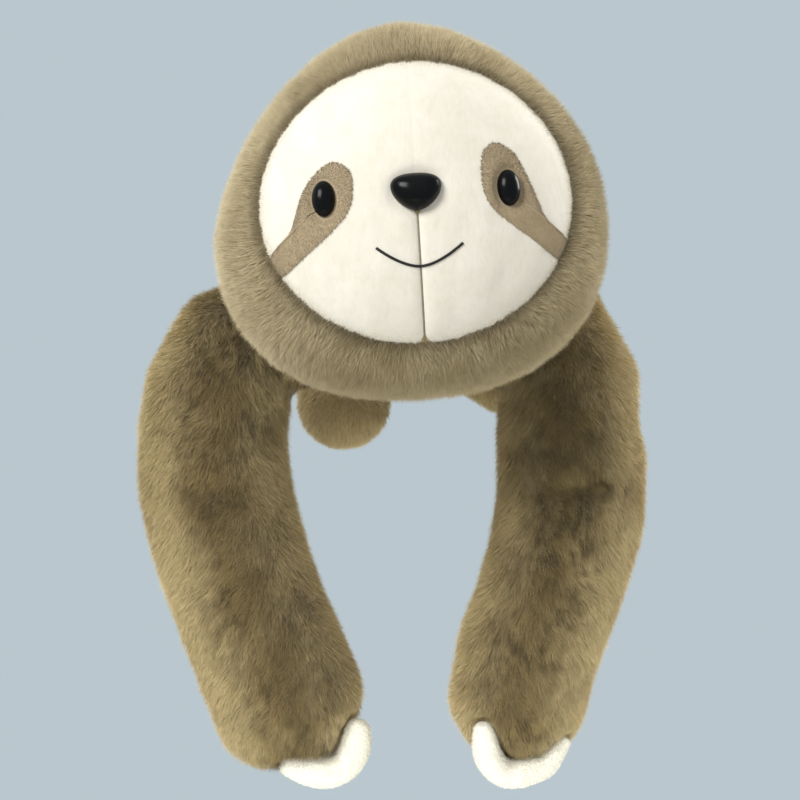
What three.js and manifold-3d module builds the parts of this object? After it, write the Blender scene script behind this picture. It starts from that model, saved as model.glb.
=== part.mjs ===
// Weighted plush sloth, carried under its belly with its arms and legs hanging down.
// Millimetres. +Z is up, the face looks along -Y, and the toy's own right hand is at -X.
// The origin is on the flat of the belly, below the neck, where the toy is carried.

import * as THREE from "three";
import { mergeVertices } from "three/addons/utils/BufferGeometryUtils.js";
import Module from "manifold-3d";

const wasm = await Module();
wasm.setup();

// Cloth and clearances
const GAP = 0.3;
const PLUSH = 6;
const POUCH_CLOTH = 1.5;
const GUSSET_CLOTH = 2;
const FAR = 400;

// Torso, a sausage that starts in a round neck end and swells towards the rump
const NECK_RADIUS = 72;
const BELLY_CUT = 2;
const NECK_Y = -25;
const TORSO_LENGTH = 330;
const BELLY_HALF_WIDTH = 84;
const RUMP_HALF_WIDTH = 66;
const RUMP_CAP = 74;
const BELLY_START = 0.06;
const BELLY_PLACE = 0.62;
const WAIST_PLACE = 0.7;
const SEAT_PLACE = 0.85;
const SEAT_WIDTH = 1.08;
const RUMP_PLACE = 0.9;
const NECK_HOLE_RADIUS = 34;
const NECK_SEAM_SPREAD = 7;
const NECK_SEAM_ANGLE = 30;

// Head: widest at its centre, narrower towards its crown, with a full and squarer jaw
const HEAD_CENTRE = [16.5, -160, 130];
const HEAD_HALF_WIDTH = 158;
const HEAD_CROWN = 173;
const HEAD_JAW = 131;
const HEAD_FRONT = 105;
const HEAD_BACK = 118;
const CROWN_SAG = 5;
const CROWN_SQUARENESS = 1.72;
const JAW_SQUARENESS = 2.3;
const DEPTH_SQUARENESS = 2.3;
const HEAD_ROLL = 3.6;

// Face, laid out from its own middle, right and up, which lies a little beside the head's
const FACE_SHIFT = 5;
const FACE_RISE = 18;
const FACE_HALF_WIDTH = 124.5;
const FACE_HALF_HEIGHT = 111.5;
const EYE_SPREAD = 72;
const EYE_RISE = 4;
const EYE_WIDTH = 19;
const EYE_HEIGHT = 27.5;
const EYE_DEPTH = 9;
const NOSE_RISE = 4;
const NOSE_WIDTH = 38.5;
const NOSE_HEIGHT = 29.5;
const NOSE_DEPTH = 14;
const NOSE_TAPER = 0.2;
const SHANK_RADIUS = 3;
const SHANK_LENGTH = 16;
const WASHER_RADIUS = 10;
const WASHER_THICKNESS = 3;
const MOUTH_HALF_WIDTH = 33;
const MOUTH_TOP = -37.5;
const MOUTH_BOTTOM = -53.5;
const MOUTH_CURL = 1.7;
const THREAD_RADIUS = 1.2;
const THREAD_LIFT = 0.35;

// Eye patch outline, as distances out from the face's middle line and up
const PATCH_OUTLINE = [
  [64, 34],
  [54, 27],
  [51.5, 13],
  [54, -3],
  [62, -15],
  [86, -35],
  [112, -53],
  [121, -40],
  [102, -23],
  [94, -6],
  [88, 9],
  [78, 25],
];

// Shoulders and arms
const SHOULDER_X = 62;
const SHOULDER_Y = 10;
const SHOULDER_Z = 60;
const ARMHOLE_RADIUS = 60;
const ARM_ROOT_RADIUS = 48;
const ARM_DEPTH = 0.88;
const ARM_ROOT_INSIDE = 26;
const ARM_ROOT_OUTSIDE = 10;
const ARM_TIP_CAP = 52;
const ELBOW_Z = -140;
const ELBOW_RADIUS = 67;
const ELBOW_BEND = 45;
const ELBOW_STRAIGHTEN = 5;
const ELBOW_SLACK = 3;
const GUSSET_OUTER = 32;
const GUSSET_INNER = 14;

// Each arm hangs a little differently: its centre line, out from the middle and up, then its girths
const RIGHT_ARM = {
  line: [
    [118, 64], [155, 28], [171, -39], [167, -102],
    [152, -162], [133, -216], [112, -268], [78, -353],
  ],
  girth: [[0, ARM_ROOT_RADIUS], [0.12, 57], [0.3, 67], [0.5, 70], [0.75, 68], [0.9, 69], [1, 60]],
  outerClaw: [[30, -361], [54, -367], [80, -364], [104, -353]],
  innerClaw: [[60, -369], [42, -360], [35, -340], [32, -316]],
};
const LEFT_ARM = {
  line: [
    [120, 68], [166, 42], [167, -37], [172, -97],
    [162, -153], [147, -205], [128, -258], [114, -351],
  ],
  girth: [[0, ARM_ROOT_RADIUS], [0.12, 57], [0.3, 62], [0.5, 69], [0.75, 64], [0.9, 62], [1, 58]],
  outerClaw: [[104, -369], [128, -368], [148, -356], [162, -335]],
  innerClaw: [[135, -368], [112, -366], [94, -350], [88, -318]],
};

// Claws are flat plush pods that hug the front of the paw's tip. The lines of a paw's two claws cross,
// and each claw is cut off halfway, so that they meet there face to face in one crescent.
const CLAW_RADIUS = 17;
const CLAW_DEPTH = 1.5;
const CLAW_TAPER = 0.62;
const CLAW_TAPER_START = 0.4;
const CLAW_FORWARD = 18;

// Beads in the paws
const PAW_POUCH_RADIUS = 32;
const PAW_POUCH_HALF_LENGTH = 58;
const PAW_POUCH_PLACE = 0.78;
const FILLING_CHANNEL = 14;
const PAW_POUCH_MOUTH = 9;

// Hips and legs
const HIP_X = 64;
const HIP_Y = 214;
const HIP_Z = 50;
const LEG_RADIUS = 39;
const FOOT_RADIUS = 48;
const RIGHT_FOOT = [54, -12];
const LEFT_FOOT = [126, 26];
const FOOT_START = 0.42;
const LEG_SWING_FORWARD = 8;
const LEG_SWING_BACK = 35;
const HIP_CLEARANCE = 0.3;
const HIP_HOLE_RADIUS = 18;
const HIP_HOLE_RISE = 0.5;
const TOE_RADIUS = 12;
const TOE_LENGTH = 44;
const TOE_SPREAD = 17;
const TOE_TURN = 55;
const TOE_PROUD = 0.86;

// Belly weight
const POUCH_HALF_WIDTH = 50;
const POUCH_HALF_LENGTH = 92;
const POUCH_HALF_HEIGHT = 26;
const POUCH_Y = 75;
const POUCH_MOUTH = 16;

// Closing seam along the back
const CLOSING_START = 40;
const CLOSING_END = 130;

// Facets of the body and its parts
const TORSO_SIDES = 20;
const TORSO_ROWS = 6;
const NECK_CAP_ROWS = 5;
const NECK_SEAM_SIDES = 20;
const SOCKET_SIDES = 20;
const ARMHOLE_SIDES = 18;
const HIP_SIDES = 12;
const WAY_ROWS = 4;
const WAY_CAP_ROWS = 2;
const POUCH_SIDES = 12;

// Facets of the head and face
const HEAD_SIDES = 28;
const HEAD_ROWS = 14;
const HEAD_LINING_SIDES = 16;
const HEAD_LINING_ROWS = 8;
const FACE_FACETS = 40;
const PATCH_FACETS = 24;
const DOME_SIDES = 16;
const DOME_ROWS = 4;
const SHANK_SIDES = 8;
const WASHER_SIDES = 14;
const MOUTH_POINTS = 12;
const MOUTH_STEPS = 20;

// Facets of the limbs
const LIMB_SIDES = 16;
const LIMB_ROWS = 10;
const SHORT_ROWS = 2;
const CAP_ROWS = 4;
const LINING_SIDES = 12;
const LINING_CAP_ROWS = 3;
const ELBOW_FACETS = 36;
const GUSSET_SIDES = 20;
const CLAW_SIDES = 10;
const CLAW_CAP_ROWS = 3;
const PAW_POUCH_SIDES = 10;
const PAW_POUCH_ROWS = 6;

// Facets of rods, holes and thread
const ROD_SIDES = 20;
const HOLE_SIDES = 12;
const THREAD_SIDES = 6;

const NECK = new THREE.Vector3(0, NECK_Y, NECK_RADIUS - BELLY_CUT);
const UP = new THREE.Vector3(0, 0, 1);
const BACK = new THREE.Vector3(0, 1, 0);
const rad = THREE.MathUtils.degToRad;

// A closed three.js geometry as a solid that can be joined and cut.
function solidFrom(geometry) {
  const bare = new THREE.BufferGeometry();
  const loose = geometry.index ? geometry.toNonIndexed() : geometry;
  bare.setAttribute("position", loose.getAttribute("position"));
  const merged = mergeVertices(bare, 1e-4);
  return new wasm.Manifold(
    new wasm.Mesh({
      numProp: 3,
      vertProperties: merged.attributes.position.array,
      triVerts: new Uint32Array(merged.index.array),
    }),
  );
}

function geometryFrom(solid) {
  const mesh = solid.getMesh();
  const geometry = new THREE.BufferGeometry();
  geometry.setAttribute("position", new THREE.BufferAttribute(mesh.vertProperties, 3));
  geometry.setIndex(new THREE.BufferAttribute(mesh.triVerts, 1));
  geometry.computeVertexNormals();
  return geometry;
}

const material = (color, roughness, metalness = 0) =>
  new THREE.MeshStandardMaterial({ color, roughness, metalness });
const looks = {
  fur: material(0x968764, 0.95),
  face: material(0xf4efe2, 0.9),
  patch: material(0x9a8c68, 0.92),
  claw: material(0xfbf9ee, 0.88),
  thread: material(0x151313, 0.7),
  gloss: material(0x0c0908, 0.12),
  washer: material(0xdddcd6, 0.45),
  stuffing: material(0xf2f2ef, 0.98),
  pouch: material(0xe6e1d4, 0.9),
  beads: material(0xc9d6da, 0.25),
};

function piece(group, name, solid, look) {
  const mesh = new THREE.Mesh(geometryFrom(solid), looks[look]);
  mesh.name = name;
  group.add(mesh);
  return mesh;
}

// Blocks, balls and rods
function block(low, high) {
  const size = high.map((value, i) => value - low[i]);
  const middle = high.map((value, i) => (value + low[i]) / 2);
  return solidFrom(new THREE.BoxGeometry(...size).translate(...middle));
}

// A drum or a ball so large that its facets clear a true one of the given radius.
const roundDrum = (radius, sides) => radius / Math.cos(Math.PI / sides);
const roundBall = (radius, sides) => roundDrum(roundDrum(radius, sides), sides);

function clearBall(centre, radius, sides) {
  const geometry = new THREE.SphereGeometry(roundBall(radius, sides), sides, sides / 2);
  return solidFrom(geometry.translate(centre.x, centre.y, centre.z));
}

function pod(centre, halfSizes, sides) {
  const geometry = new THREE.SphereGeometry(1, sides, sides / 2);
  return solidFrom(geometry.scale(...halfSizes).translate(centre.x, centre.y, centre.z));
}

// A rod from one point along a direction.
function rod(start, direction, length, radius, sides = ROD_SIDES) {
  const geometry = new THREE.CylinderGeometry(radius, radius, length, sides);
  geometry.translate(0, length / 2, 0);
  const turn = new THREE.Quaternion().setFromUnitVectors(BACK, direction.clone().normalize());
  geometry.applyQuaternion(turn);
  return solidFrom(geometry.translate(start.x, start.y, start.z));
}

// Reads a list of [place, value] stations at a place, eased between them.
function eased(stations, place) {
  const last = stations.length - 1;
  let i = 0;
  while (i < last - 1 && stations[i + 1][0] < place) i += 1;
  const [from, low] = stations[i];
  const [to, high] = stations[i + 1];
  return low + (high - low) * THREE.MathUtils.smoothstep(place, from, to);
}

// A stuffed form: a turned profile with round ends, bent along a line.
// The inset makes the same form smaller on every side, for linings and fillings.
function stuffedForm(form, inset = 0) {
  const { line, girth, startCap, endCap, level, sides, rows } = form;
  const { across = [[0, 1], [1, 1]], depth = 1, capRows = CAP_ROWS, startRows = capRows } = form;
  const length = line.getLength();
  const radiusAt = (place) => {
    const full = eased(girth, place / length) - inset;
    const intoStart = Math.max(0, startCap - place) / (startCap - inset);
    const intoEnd = Math.max(0, place - (length - endCap)) / (endCap - inset);
    return full * Math.sqrt(1 - Math.min(1, intoStart) ** 2) * Math.sqrt(1 - Math.min(1, intoEnd) ** 2);
  };
  const capShares = (count) =>
    Array.from({ length: count }, (_, i) => Math.cos((Math.PI / 2) * ((i + 1) / count)));
  const straight = length - startCap - endCap;
  const places = [
    ...capShares(startRows).map((share) => startCap - (startCap - inset) * share),
    ...Array.from({ length: rows - 1 }, (_, i) => startCap + (straight * (i + 1)) / rows),
    ...capShares(capRows).reverse().map((share) => length - endCap + (endCap - inset) * share),
  ];
  const profile = [
    new THREE.Vector2(0, inset),
    ...places.map((place) => new THREE.Vector2(radiusAt(place), place)),
    new THREE.Vector2(0, length - inset),
  ];
  const geometry = new THREE.LatheGeometry(profile, sides);
  const position = geometry.getAttribute("position");
  for (let i = 0; i < position.count; i += 1) {
    const share = THREE.MathUtils.clamp(position.getY(i) / length, 0, 1);
    const place = line.getPointAt(share);
    const beside = line.getTangentAt(share).cross(level).normalize();
    place.addScaledVector(beside, position.getX(i) * eased(across, share));
    place.addScaledVector(level, position.getZ(i) * depth);
    position.setXYZ(i, place.x, place.y, place.z);
  }
  return solidFrom(geometry);
}

// A stuffed form's cover is open wherever the form is cut, and its filling keeps a gap.
// The lining between them has fewer facets, which lie inside the cloth's true thickness.
function coverAndFilling(form) {
  const rows = Math.ceil(form.rows / 2);
  const capRows = LINING_CAP_ROWS;
  const inner = { ...form, sides: LINING_SIDES, rows, capRows, startRows: capRows };
  return {
    cover: stuffedForm(form).subtract(stuffedForm(inner, PLUSH)),
    filling: stuffedForm(inner, PLUSH + GAP),
  };
}

// Torso
const torsoStart = new THREE.Vector3(0, NECK_Y - NECK_RADIUS, NECK.z);
const torsoEnd = torsoStart.clone().add(new THREE.Vector3(0, TORSO_LENGTH, 0));
const neckShare = NECK_RADIUS / TORSO_LENGTH;
const torsoGirth = [
  [0, NECK_RADIUS],
  [WAIST_PLACE, NECK_RADIUS],
  [RUMP_PLACE, RUMP_HALF_WIDTH],
  [1, RUMP_HALF_WIDTH],
];
const torsoForm = {
  line: new THREE.LineCurve3(torsoStart, torsoEnd),
  girth: torsoGirth,
  across: [
    [0, 1],
    [neckShare + BELLY_START, 1],
    [BELLY_PLACE, BELLY_HALF_WIDTH / NECK_RADIUS],
    [SEAT_PLACE, SEAT_WIDTH],
    [1, 1],
  ],
  startCap: NECK_RADIUS,
  endCap: RUMP_CAP,
  startRows: NECK_CAP_ROWS,
  level: UP,
  sides: TORSO_SIDES,
  rows: TORSO_ROWS,
};

const headPlace = new THREE.Vector3(...HEAD_CENTRE);
const headTurn = new THREE.Quaternion().setFromAxisAngle(BACK, rad(-HEAD_ROLL));
const neckAxis = headPlace.clone().sub(NECK).normalize();
const NECK_SEAM_OUTER = roundDrum(NECK_RADIUS + GAP, NECK_SEAM_SIDES) + GUSSET_CLOTH;

const hip = (side) => new THREE.Vector3(side * HIP_X, HIP_Y, HIP_Z);
const shoulder = (side) => new THREE.Vector3(side * SHOULDER_X, SHOULDER_Y, SHOULDER_Z);
const outwards = (side) => new THREE.Vector3(side, 0, 0);

// A leg is a stuffed form that starts in a ball round its hip.
function legForm(side, foot) {
  const centre = hip(side);
  const sole = new THREE.Vector3(side * foot[0], HIP_Y, foot[1]);
  const along = sole.clone().sub(centre).normalize();
  return {
    line: new THREE.LineCurve3(
      centre.addScaledVector(along, -LEG_RADIUS),
      sole.addScaledVector(along, FOOT_RADIUS),
    ),
    girth: [[0, LEG_RADIUS], [FOOT_START, LEG_RADIUS], [1 - FOOT_START, FOOT_RADIUS], [1, FOOT_RADIUS]],
    startCap: LEG_RADIUS,
    endCap: FOOT_RADIUS,
    level: BACK,
    sides: LIMB_SIDES,
    rows: SHORT_ROWS,
  };
}

const legForms = { right: legForm(-1, RIGHT_FOOT), left: legForm(1, LEFT_FOOT) };

// A solid turned about an axis along X through a point.
function swung(solid, centre, degrees) {
  return solid
    .translate(centre.clone().negate().toArray())
    .rotate([degrees, 0, 0])
    .translate(centre.toArray());
}

// The room that a leg needs in the torso: a socket, and the leg's way as it swings.
function hipRoom(side, form, extra) {
  const centre = hip(side);
  const radius = LEG_RADIUS + HIP_CLEARANCE + extra;
  const growth = roundDrum(radius, HIP_SIDES) - LEG_RADIUS;
  const way = stuffedForm({ ...form, sides: HIP_SIDES, rows: WAY_ROWS, capRows: WAY_CAP_ROWS }, -growth);
  const turns = [-LEG_SWING_FORWARD, 0, LEG_SWING_BACK / 2, LEG_SWING_BACK];
  const room = clearBall(centre, radius, HIP_SIDES);
  return turns.reduce((joined, degrees) => joined.add(swung(way, centre, degrees)), room);
}

// Room for the arms and legs in the torso: a flat round armhole and a hip socket on each side.
function limbRoom(extra) {
  const armholes = [-1, 1].map((side) => {
    const start = shoulder(side).addScaledVector(outwards(side), -extra);
    return rod(start, outwards(side), FAR, ARMHOLE_RADIUS + extra, ARMHOLE_SIDES);
  });
  return armholes[0]
    .add(armholes[1])
    .add(hipRoom(-1, legForms.right, extra))
    .add(hipRoom(1, legForms.left, extra));
}

function belowBelly() {
  return block([-FAR, -FAR, -FAR], [FAR, FAR, 0]);
}

function bellyPouch(inset) {
  const centre = new THREE.Vector3(0, POUCH_Y, NECK.z);
  const sizes = [POUCH_HALF_WIDTH, POUCH_HALF_LENGTH, POUCH_HALF_HEIGHT].map((size) => size - inset);
  return pod(centre, sizes, POUCH_SIDES);
}

function makeTorso(group) {
  const { cover, filling } = coverAndFilling(torsoForm);
  const neckHole = rod(NECK, neckAxis, FAR, NECK_HOLE_RADIUS);
  const skin = cover.subtract(limbRoom(0)).subtract(belowBelly()).subtract(neckHole);
  piece(group, "torso_cover", skin, "fur");

  const lift = new THREE.Vector3(0, 0, PLUSH);
  const fill = filling
    .subtract(limbRoom(GAP))
    .subtract(belowBelly().translate(lift.toArray()))
    .subtract(bellyPouch(-GAP));
  const middle = NECK.z;
  const above = block([-FAR, -FAR, middle + GAP / 2], [FAR, FAR, FAR]);
  const under = block([-FAR, -FAR, -FAR], [FAR, FAR, middle - GAP / 2]);
  piece(group, "back_stuffing", fill.intersect(above), "stuffing");
  piece(group, "belly_stuffing", fill.intersect(under), "stuffing");

  const mouthStart = new THREE.Vector3(0, POUCH_Y + POUCH_HALF_LENGTH / 2, middle);
  const mouth = rod(mouthStart, BACK, POUCH_HALF_LENGTH, POUCH_MOUTH, HOLE_SIDES);
  const pouch = bellyPouch(0).subtract(bellyPouch(POUCH_CLOTH)).subtract(mouth);
  piece(group, "belly_weight_pouch", pouch, "pouch");
  piece(group, "belly_glass_beads", bellyPouch(POUCH_CLOTH + GAP), "beads");

  const seamZ = NECK.z + NECK_RADIUS + THREAD_LIFT + THREAD_RADIUS;
  const seamStart = new THREE.Vector3(0, CLOSING_START, seamZ);
  const seam = rod(seamStart, BACK, CLOSING_END - CLOSING_START, THREAD_RADIUS, THREAD_SIDES);
  piece(group, "closing_seam", seam, "thread");
}

// Neck seam: a ring of cloth on the round neck end, under the socket of the head.
function makeNeckSeam(group) {
  const inner = NECK_SEAM_OUTER - GUSSET_CLOTH;
  const angles = [0, 0.5, 1].map((share) => rad(NECK_SEAM_ANGLE + NECK_SEAM_SPREAD * share));
  const onBall = (radius) => (angle) =>
    new THREE.Vector2(radius * Math.sin(angle), radius * Math.cos(angle));
  const outerArc = angles.toReversed().map(onBall(NECK_SEAM_OUTER));
  const profile = [...outerArc, ...angles.map(onBall(inner)), outerArc[0].clone()];
  const turn = new THREE.Quaternion().setFromUnitVectors(BACK, neckAxis);
  const ring = new THREE.LatheGeometry(profile, NECK_SEAM_SIDES).applyQuaternion(turn);
  piece(group, "neck_seam", solidFrom(ring.translate(NECK.x, NECK.y, NECK.z)), "fur");
}

// Head, built about its own centre and then rolled and placed by its group.
// The crown sags a little towards the toy's left.
function crownSag(up) {
  const share = THREE.MathUtils.clamp(up / HEAD_CROWN, 0, 1);
  return CROWN_SAG * Math.sin(Math.PI * share);
}

// How far a point, right and up, lies from the centre, as a share of the head's outline.
function headShare(right, up, inset) {
  const height = (up > 0 ? HEAD_CROWN : HEAD_JAW) - inset;
  const power = up > 0 ? CROWN_SQUARENESS : JAW_SQUARENESS;
  const across = Math.abs(right / (HEAD_HALF_WIDTH - inset)) ** power;
  return (across + Math.abs(up / height) ** power) ** (1 / power);
}

function headForm(inset, sides, rows) {
  const power = 2 / DEPTH_SQUARENESS;
  const profile = [];
  for (let i = 0; i <= rows; i += 1) {
    const angle = (Math.PI * i) / rows;
    const front = Math.cos(angle);
    const reach = (front > 0 ? HEAD_FRONT : HEAD_BACK) - inset;
    const ends = i === 0 || i === rows;
    const radius = ends ? 0 : Math.sin(angle) ** power;
    profile.push(new THREE.Vector2(radius, -Math.sign(front) * Math.abs(front) ** power * reach));
  }
  const geometry = new THREE.LatheGeometry(profile, sides);
  const position = geometry.getAttribute("position");
  for (let i = 0; i < position.count; i += 1) {
    const [right, up] = [position.getX(i), position.getZ(i)];
    const radius = Math.hypot(right, up);
    const growth = radius > 0 ? radius / headShare(right, up, inset) : 0;
    position.setX(i, right * growth + crownSag(up * growth));
    position.setZ(i, up * growth);
  }
  return solidFrom(geometry);
}

// The point on the front of the head at a place right and up on the face, and the direction out of it.
function faceAnchor(right, up) {
  const across = right + FACE_SHIFT;
  const depthAt = (u, v) =>
    -HEAD_FRONT * (1 - headShare(u - crownSag(v), v, 0) ** DEPTH_SQUARENESS) ** (1 / DEPTH_SQUARENESS);
  const step = 0.5;
  const height = up + FACE_RISE;
  const here = depthAt(across, height);
  const slopeRight = (depthAt(across + step, height) - depthAt(across - step, height)) / (2 * step);
  const slopeUp = (depthAt(across, height + step) - depthAt(across, height - step)) / (2 * step);
  return {
    point: new THREE.Vector3(across, here, height),
    out: new THREE.Vector3(slopeRight, -1, slopeUp).normalize(),
  };
}

// An outline of the face, drawn right and up, pushed through the front of the head.
function throughFace(points) {
  const shape = new THREE.Shape(points);
  const geometry = new THREE.ExtrudeGeometry(shape, { depth: HEAD_FRONT + FAR, bevelEnabled: false });
  return solidFrom(geometry.rotateX(Math.PI / 2).translate(FACE_SHIFT, 0, FACE_RISE));
}

function faceOutline(grow) {
  const curve = new THREE.EllipseCurve(0, 0, FACE_HALF_WIDTH + grow, FACE_HALF_HEIGHT + grow);
  return curve.getPoints(FACE_FACETS).slice(0, -1);
}

// The eye patch's outline on one side, moved in by an inset along its own normals.
function patchOutline(side, inset) {
  const corners = PATCH_OUTLINE.map(([out, up]) => new THREE.Vector3(side * out, up, 0));
  const curve = new THREE.CatmullRomCurve3(corners, true, "centripetal");
  const count = PATCH_FACETS;
  const points = Array.from({ length: count }, (_, i) => curve.getPoint(i / count));
  return points.map((point, i) => {
    const along = points[(i + 1) % count].clone().sub(points[(i + count - 1) % count]).normalize();
    const inwards = new THREE.Vector2(-along.y, along.x).multiplyScalar(side * inset);
    return inwards.add(point);
  });
}

// A dome of the given width, height and depth: flat back on the XZ plane, top at -Y.
// The taper makes it narrower towards its lower edge.
function domeGeometry(width, height, depth, taper) {
  const arc = Array.from({ length: DOME_ROWS }, (_, i) => {
    const angle = (Math.PI / 2) * (i / DOME_ROWS);
    return new THREE.Vector2(Math.cos(angle), Math.sin(angle));
  });
  const profile = [new THREE.Vector2(0, 0), ...arc, new THREE.Vector2(0, 1)];
  const geometry = new THREE.LatheGeometry(profile, DOME_SIDES).rotateX(Math.PI);
  const position = geometry.getAttribute("position");
  for (let i = 0; i < position.count; i += 1) {
    position.setX(i, position.getX(i) * (1 + taper * position.getZ(i)));
  }
  return geometry.scale(width / 2, depth, height / 2);
}

// A glossy button: its dome and shank, its washer behind the cloth, and the room that they need.
// The washer presses a flat seat into the lining of the cloth.
function buttonSolids(dome, anchor) {
  const turn = new THREE.Quaternion().setFromUnitVectors(BACK.clone().negate(), anchor.out);
  const foot = anchor.point.clone().addScaledVector(anchor.out, GAP);
  const top = foot.clone().addScaledVector(anchor.out, 1);
  const inwards = anchor.out.clone().negate();
  const seatPlace = anchor.point.clone().addScaledVector(inwards, PLUSH);
  const washerStart = seatPlace.clone().addScaledVector(inwards, GAP);
  const shank = rod(top, inwards, SHANK_LENGTH, SHANK_RADIUS, SHANK_SIDES);
  const hole = rod(top, inwards, SHANK_LENGTH + GAP, SHANK_RADIUS + GAP, SHANK_SIDES);
  return {
    button: solidFrom(dome.applyQuaternion(turn).translate(foot.x, foot.y, foot.z)).add(shank),
    washer: rod(washerStart, inwards, WASHER_THICKNESS, WASHER_RADIUS, WASHER_SIDES).subtract(hole),
    hole: hole.add(rod(seatPlace, inwards, SHANK_LENGTH, WASHER_RADIUS + GAP, WASHER_SIDES)),
    pocket: rod(top, inwards, SHANK_LENGTH + GAP, WASHER_RADIUS + GAP, WASHER_SIDES),
  };
}

function mouthThread() {
  const points = Array.from({ length: MOUTH_POINTS + 1 }, (_, i) => {
    const share = (2 * i) / MOUTH_POINTS - 1;
    const up = MOUTH_BOTTOM + (MOUTH_TOP - MOUTH_BOTTOM) * Math.abs(share) ** MOUTH_CURL;
    const { point, out } = faceAnchor(share * MOUTH_HALF_WIDTH, up);
    return point.addScaledVector(out, THREAD_LIFT + THREAD_RADIUS);
  });
  const circle = new THREE.EllipseCurve(0, 0, THREAD_RADIUS, THREAD_RADIUS);
  const section = new THREE.Shape(circle.getPoints(THREAD_SIDES).slice(1));
  const extrudePath = new THREE.CatmullRomCurve3(points);
  return solidFrom(new THREE.ExtrudeGeometry(section, { steps: MOUTH_STEPS, extrudePath }));
}

function makeHead(group) {
  const lining = (inset) => headForm(inset, HEAD_LINING_SIDES, HEAD_LINING_ROWS);
  const cloth = headForm(0, HEAD_SIDES, HEAD_ROWS).subtract(lining(PLUSH));
  const neckPlace = NECK.clone().sub(headPlace).applyQuaternion(headTurn.clone().invert());
  const socket = clearBall(neckPlace, NECK_SEAM_OUTER + GAP, SOCKET_SIDES);
  piece(group, "head_cover", cloth.subtract(throughFace(faceOutline(GAP))).subtract(socket), "fur");

  const nose = buttonSolids(
    domeGeometry(NOSE_WIDTH, NOSE_HEIGHT, NOSE_DEPTH, NOSE_TAPER),
    faceAnchor(0, NOSE_RISE),
  );
  piece(group, "nose", nose.button, "gloss");
  piece(group, "nose_washer", nose.washer, "washer");
  let fill = lining(PLUSH + GAP).subtract(socket).subtract(nose.pocket);
  let panel = cloth.intersect(throughFace(faceOutline(0))).subtract(nose.hole);

  for (const [name, side] of [["right", -1], ["left", 1]]) {
    const eye = buttonSolids(
      domeGeometry(EYE_WIDTH, EYE_HEIGHT, EYE_DEPTH, 0),
      faceAnchor(side * EYE_SPREAD, EYE_RISE),
    );
    const patch = panel.intersect(throughFace(patchOutline(side, GAP))).subtract(eye.hole);
    panel = panel.subtract(throughFace(patchOutline(side, 0)));
    fill = fill.subtract(eye.pocket);
    piece(group, `${name}_eye`, eye.button, "gloss");
    piece(group, `${name}_eye_washer`, eye.washer, "washer");
    piece(group, `${name}_eye_patch`, patch, "patch");
  }
  const rightOfSeam = block([-FAR, -FAR, -FAR], [FACE_SHIFT - GAP / 2, FAR, FAR]);
  const leftOfSeam = block([FACE_SHIFT + GAP / 2, -FAR, -FAR], [FAR, FAR, FAR]);
  piece(group, "right_face", panel.intersect(rightOfSeam), "face");
  piece(group, "left_face", panel.intersect(leftOfSeam), "face");
  piece(group, "mouth_thread", mouthThread(), "thread");
  piece(group, "head_stuffing", fill, "stuffing");
}

// Arms
function armForm(side, arm) {
  const root = [[SHOULDER_X - ARM_ROOT_INSIDE, SHOULDER_Z], [SHOULDER_X + ARM_ROOT_OUTSIDE, SHOULDER_Z]];
  const inPlane = ([out, up]) => new THREE.Vector3(side * out, SHOULDER_Y, up);
  const points = [...root, ...arm.line].map(inPlane);
  return {
    line: new THREE.CatmullRomCurve3(points, false, "centripetal"),
    girth: arm.girth,
    depth: ARM_DEPTH,
    startCap: ARM_ROOT_INSIDE,
    endCap: ARM_TIP_CAP,
    level: BACK,
    sides: LIMB_SIDES,
    rows: LIMB_ROWS,
  };
}

// The elbow turns on a round end: the forearm's top is a drum about an axis along X.
function elbowDrum(radius) {
  return rod(new THREE.Vector3(-FAR, SHOULDER_Y, ELBOW_Z), outwards(1), 2 * FAR, radius, ELBOW_FACETS);
}

// The room below the upper arm that the forearm needs as it bends forwards.
function elbowRoom() {
  const ray = (degrees, forwards) => {
    const along = new THREE.Vector2(forwards * Math.cos(rad(degrees)), Math.sin(rad(degrees)));
    return along.multiplyScalar(FAR).add(new THREE.Vector2(SHOULDER_Y, ELBOW_Z));
  };
  const shape = new THREE.Shape([
    new THREE.Vector2(SHOULDER_Y, ELBOW_Z),
    ray(ELBOW_BEND + ELBOW_SLACK, -1),
    new THREE.Vector2(-2 * FAR, ELBOW_Z - 2 * FAR),
    new THREE.Vector2(2 * FAR, ELBOW_Z - 2 * FAR),
    ray(ELBOW_STRAIGHTEN + ELBOW_SLACK, 1),
  ]);
  const geometry = new THREE.ExtrudeGeometry(shape, { depth: 2 * FAR, bevelEnabled: false });
  const basis = new THREE.Matrix4().makeBasis(BACK, UP, outwards(1));
  return solidFrom(geometry.applyMatrix4(basis).translate(-FAR, 0, 0));
}

function clawSolid(side, points, paw, keep) {
  const clawY = SHOULDER_Y - CLAW_FORWARD;
  const corners = points.map(([out, up]) => new THREE.Vector3(side * out, clawY, up));
  const claw = stuffedForm({
    line: new THREE.CatmullRomCurve3(corners),
    girth: [[0, CLAW_RADIUS], [CLAW_TAPER_START, CLAW_RADIUS], [1, CLAW_RADIUS * CLAW_TAPER]],
    depth: CLAW_DEPTH,
    startCap: CLAW_RADIUS,
    endCap: CLAW_RADIUS,
    level: BACK,
    sides: CLAW_SIDES,
    rows: SHORT_ROWS,
    capRows: CLAW_CAP_ROWS,
  });
  return claw.subtract(paw).intersect(keep);
}

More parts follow.
